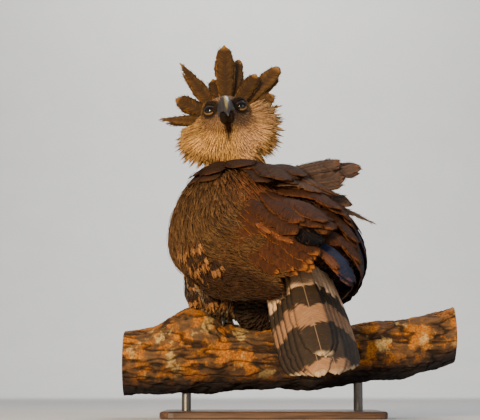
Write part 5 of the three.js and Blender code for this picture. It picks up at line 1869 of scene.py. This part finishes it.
def rod_look():
    look = Look("rod_look", 0.35, 0.3, metallic=1.0)
    x, y, z = look.split(look.position())
    brushed = look.noise((x * 0.3, y * 0.3, z * 6), 1, 3, 0.6)
    base = look.ramp(0.3, 0.7, brushed, (92, 88, 84), (128, 124, 118))
    return look.finish(base, brushed, 0.15, 0.0003, brushed * 0.25 + 0.25)


def floor_look():
    look = Look("floor_look", 0.8, 0.2)
    place = look.position()
    base = look.blend(look.noise(place, 0.004, 3, 0.5), (206, 204, 200), (214, 212, 208))
    return look.finish(base, look.noise(place, 0.3, 2, 0.5), 0.05, 0.0005)


# Everything together

feather = feather_look("feather_look", (160, 94, 42), (40, 30, 24), 0.7)
gilt_feather = feather_look("gilt_look", (186, 112, 50), (40, 26, 18), 0.7, tip=0.93)
rosette_feather = feather_look("rosette_look", (176, 120, 68), (40, 30, 24), 0.8, tip=0.5)
head_feather = feather_look("head_feather_look", (236, 190, 116), (66, 50, 38), 0.5)
crest_feather = feather_look("crest_look", (214, 148, 72), (52, 38, 28), 0.8)
horn = horn_look("claw_look")

skin = Skin()
finished(skin.piece, skin_look(), bake_place(skin.points), tint=skin_tint(skin.points, skin.labels) * 0.55)
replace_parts(skin.piece, "head", "neck", "torso", "wing_left", "wing_right", "thigh_left", "thigh_right")

coats(skin, feather)
loose_barbs, loose_crest = Vanes(4), Vanes(4)
plates("lobes", LOBES, feather, 161, loose_barbs)
plates("gilt_feathers", GILT, gilt_feather, 165, loose_barbs, fray=5, rim=1)
plates("scallops", SCALLOPS, feather, 162, loose_barbs)
plates("nape_plates", NAPE_PLATES, feather, 163, loose_barbs, notches=2, fray=5, rim=0.12)
rosettes(skin, rosette_feather)
silk(feather)
hairs(skin, feather)
windblown(feather, loose_barbs)
rump(feather)
loose_barbs.make("loose_barbs", "body_feathers", feather)
crest(crest_feather, loose_crest)
loose_crest.make("loose_crest", "face_feathers", crest_feather)
ruff(head_feather)
bristles(skin, feather)
for side, name in ((-1, "left"), (1, "right")):
    wing_rows(f"flight_{name}", side, FLIGHT_ROWS[side], "long", 0.3, 151 + side, feather)
wing_rows("wing_coverts_right", 1, COVERT_ROWS, "round", 0.2, 132, feather)
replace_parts(tail(tail_look()), "tail")

# The lower bill is a darker copy of the bill's horn: painted shade under the upper bill.
upper_horn, shaded_lower_horn = horn_look("bill_look", bill=True), horn_look("shaded_mouth_look", light=0.2)
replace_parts(bill_half("upper_bill", UPPER_BILL, 0, upper_horn, True), "bill_upper")
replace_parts(bill_half("lower_bill", LOWER_BILL, -MOUTH_GAP, shaded_lower_horn, False), "bill_lower")
eye_material, lid_material = eye_look(), lid_look()
for side, name in ((-1, "left"), (1, "right")):
    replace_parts(eye(side, f"eyeball_{name}", eye_material), f"eye_{name}")
    lids(side, f"lids_{name}", lid_material)

foot_material = foot_look()
for name, leg in LEGS.items():
    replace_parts(foot(f"scaled_foot_{name}", leg, foot_material), f"foot_{name}")
    for toe_name, toe in TOES.items():
        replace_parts(claw(f"talon_{name}_{toe_name}", leg, toe, horn), f"claw_{name}_{toe_name}")

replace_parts(limb(bark_look()), "perch")
rod = rod_look()
for name, material in (("stand_base", board_look()), ("stand_rod_left", rod), ("stand_rod_right", rod)):
    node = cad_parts[name]
    node.data.materials.clear()
    node.data.materials.append(material)


# Floor and backdrop, lights and camera, in metres

FLOOR = {"front": -8.0, "curve": 7.0, "radius": 2.4, "top": 9.0, "side": 12}
BIRD_MIDDLE = (0, 0, 0.42)
SKY = (0.93, 0.95, 1.0, 1)
SKY_STRENGTH = 0.33


def floor():
    """A pale sheet that runs back from the camera and curves up behind the bird"""
    start, radius = FLOOR["curve"], FLOOR["radius"]
    bends = pi / 2 * np.arange(25) / 24
    bend = [(start + radius * sin(turn), radius * (1 - cos(turn))) for turn in bends]
    line = np.array([(FLOOR["front"], 0), *bend, (start + radius, FLOOR["top"])])
    points = stacked(np.linspace(-FLOOR["side"], FLOOR["side"], 13), line[:, :1], line[:, 1:])
    piece = mesh_of("floor", points.reshape(-1, 3) / MM, *grid_faces(*points.shape[:2]))
    finished(piece, floor_look())


def area_light(name, place, target, size, power, tint):
    light = bpy.data.lights.new(name, "AREA")
    light.shape = "DISK"
    light.size = size
    light.energy = power
    light.color = tint
    made = bpy.data.objects.new(name, light)
    bpy.context.scene.collection.objects.link(made)
    made.location = place
    made.rotation_euler = Vector(unit(vec(*target) - vec(*place))).to_track_quat("-Z", "Y").to_euler()


floor()
area_light("key", (-1.5, -3.4, 1.05), BIRD_MIDDLE, 0.8, 235, (1.0, 0.79, 0.52))
area_light("fill", (2.6, -1.6, 1.4), BIRD_MIDDLE, 2.2, 25, (0.74, 0.85, 1.0))
area_light("top", (0.6, 1.8, 2.8), BIRD_MIDDLE, 1.8, 50, (0.95, 0.96, 1.0))
area_light("backdrop", (0.0, 6.0, 4.6), (0.0, 9.2, 1.6), 3.0, 300, (0.94, 0.97, 1.0))
world = bpy.data.worlds.new("studio")
world.use_nodes = True
background = world.node_tree.nodes["Background"]
background.inputs[0].default_value = SKY
background.inputs[1].default_value = SKY_STRENGTH
bpy.context.scene.world = world

camera = bpy.data.objects.new("camera", bpy.data.cameras.new("camera"))
bpy.context.scene.collection.objects.link(camera)
camera.location = [x * MM for x in CAMERA_PLACE]
camera.rotation_euler = (pi / 2 + CAMERA_TILT, 0, 0)
camera.data.lens = CAMERA_LENS
camera.data.sensor_width = 36
bpy.context.scene.camera = camera
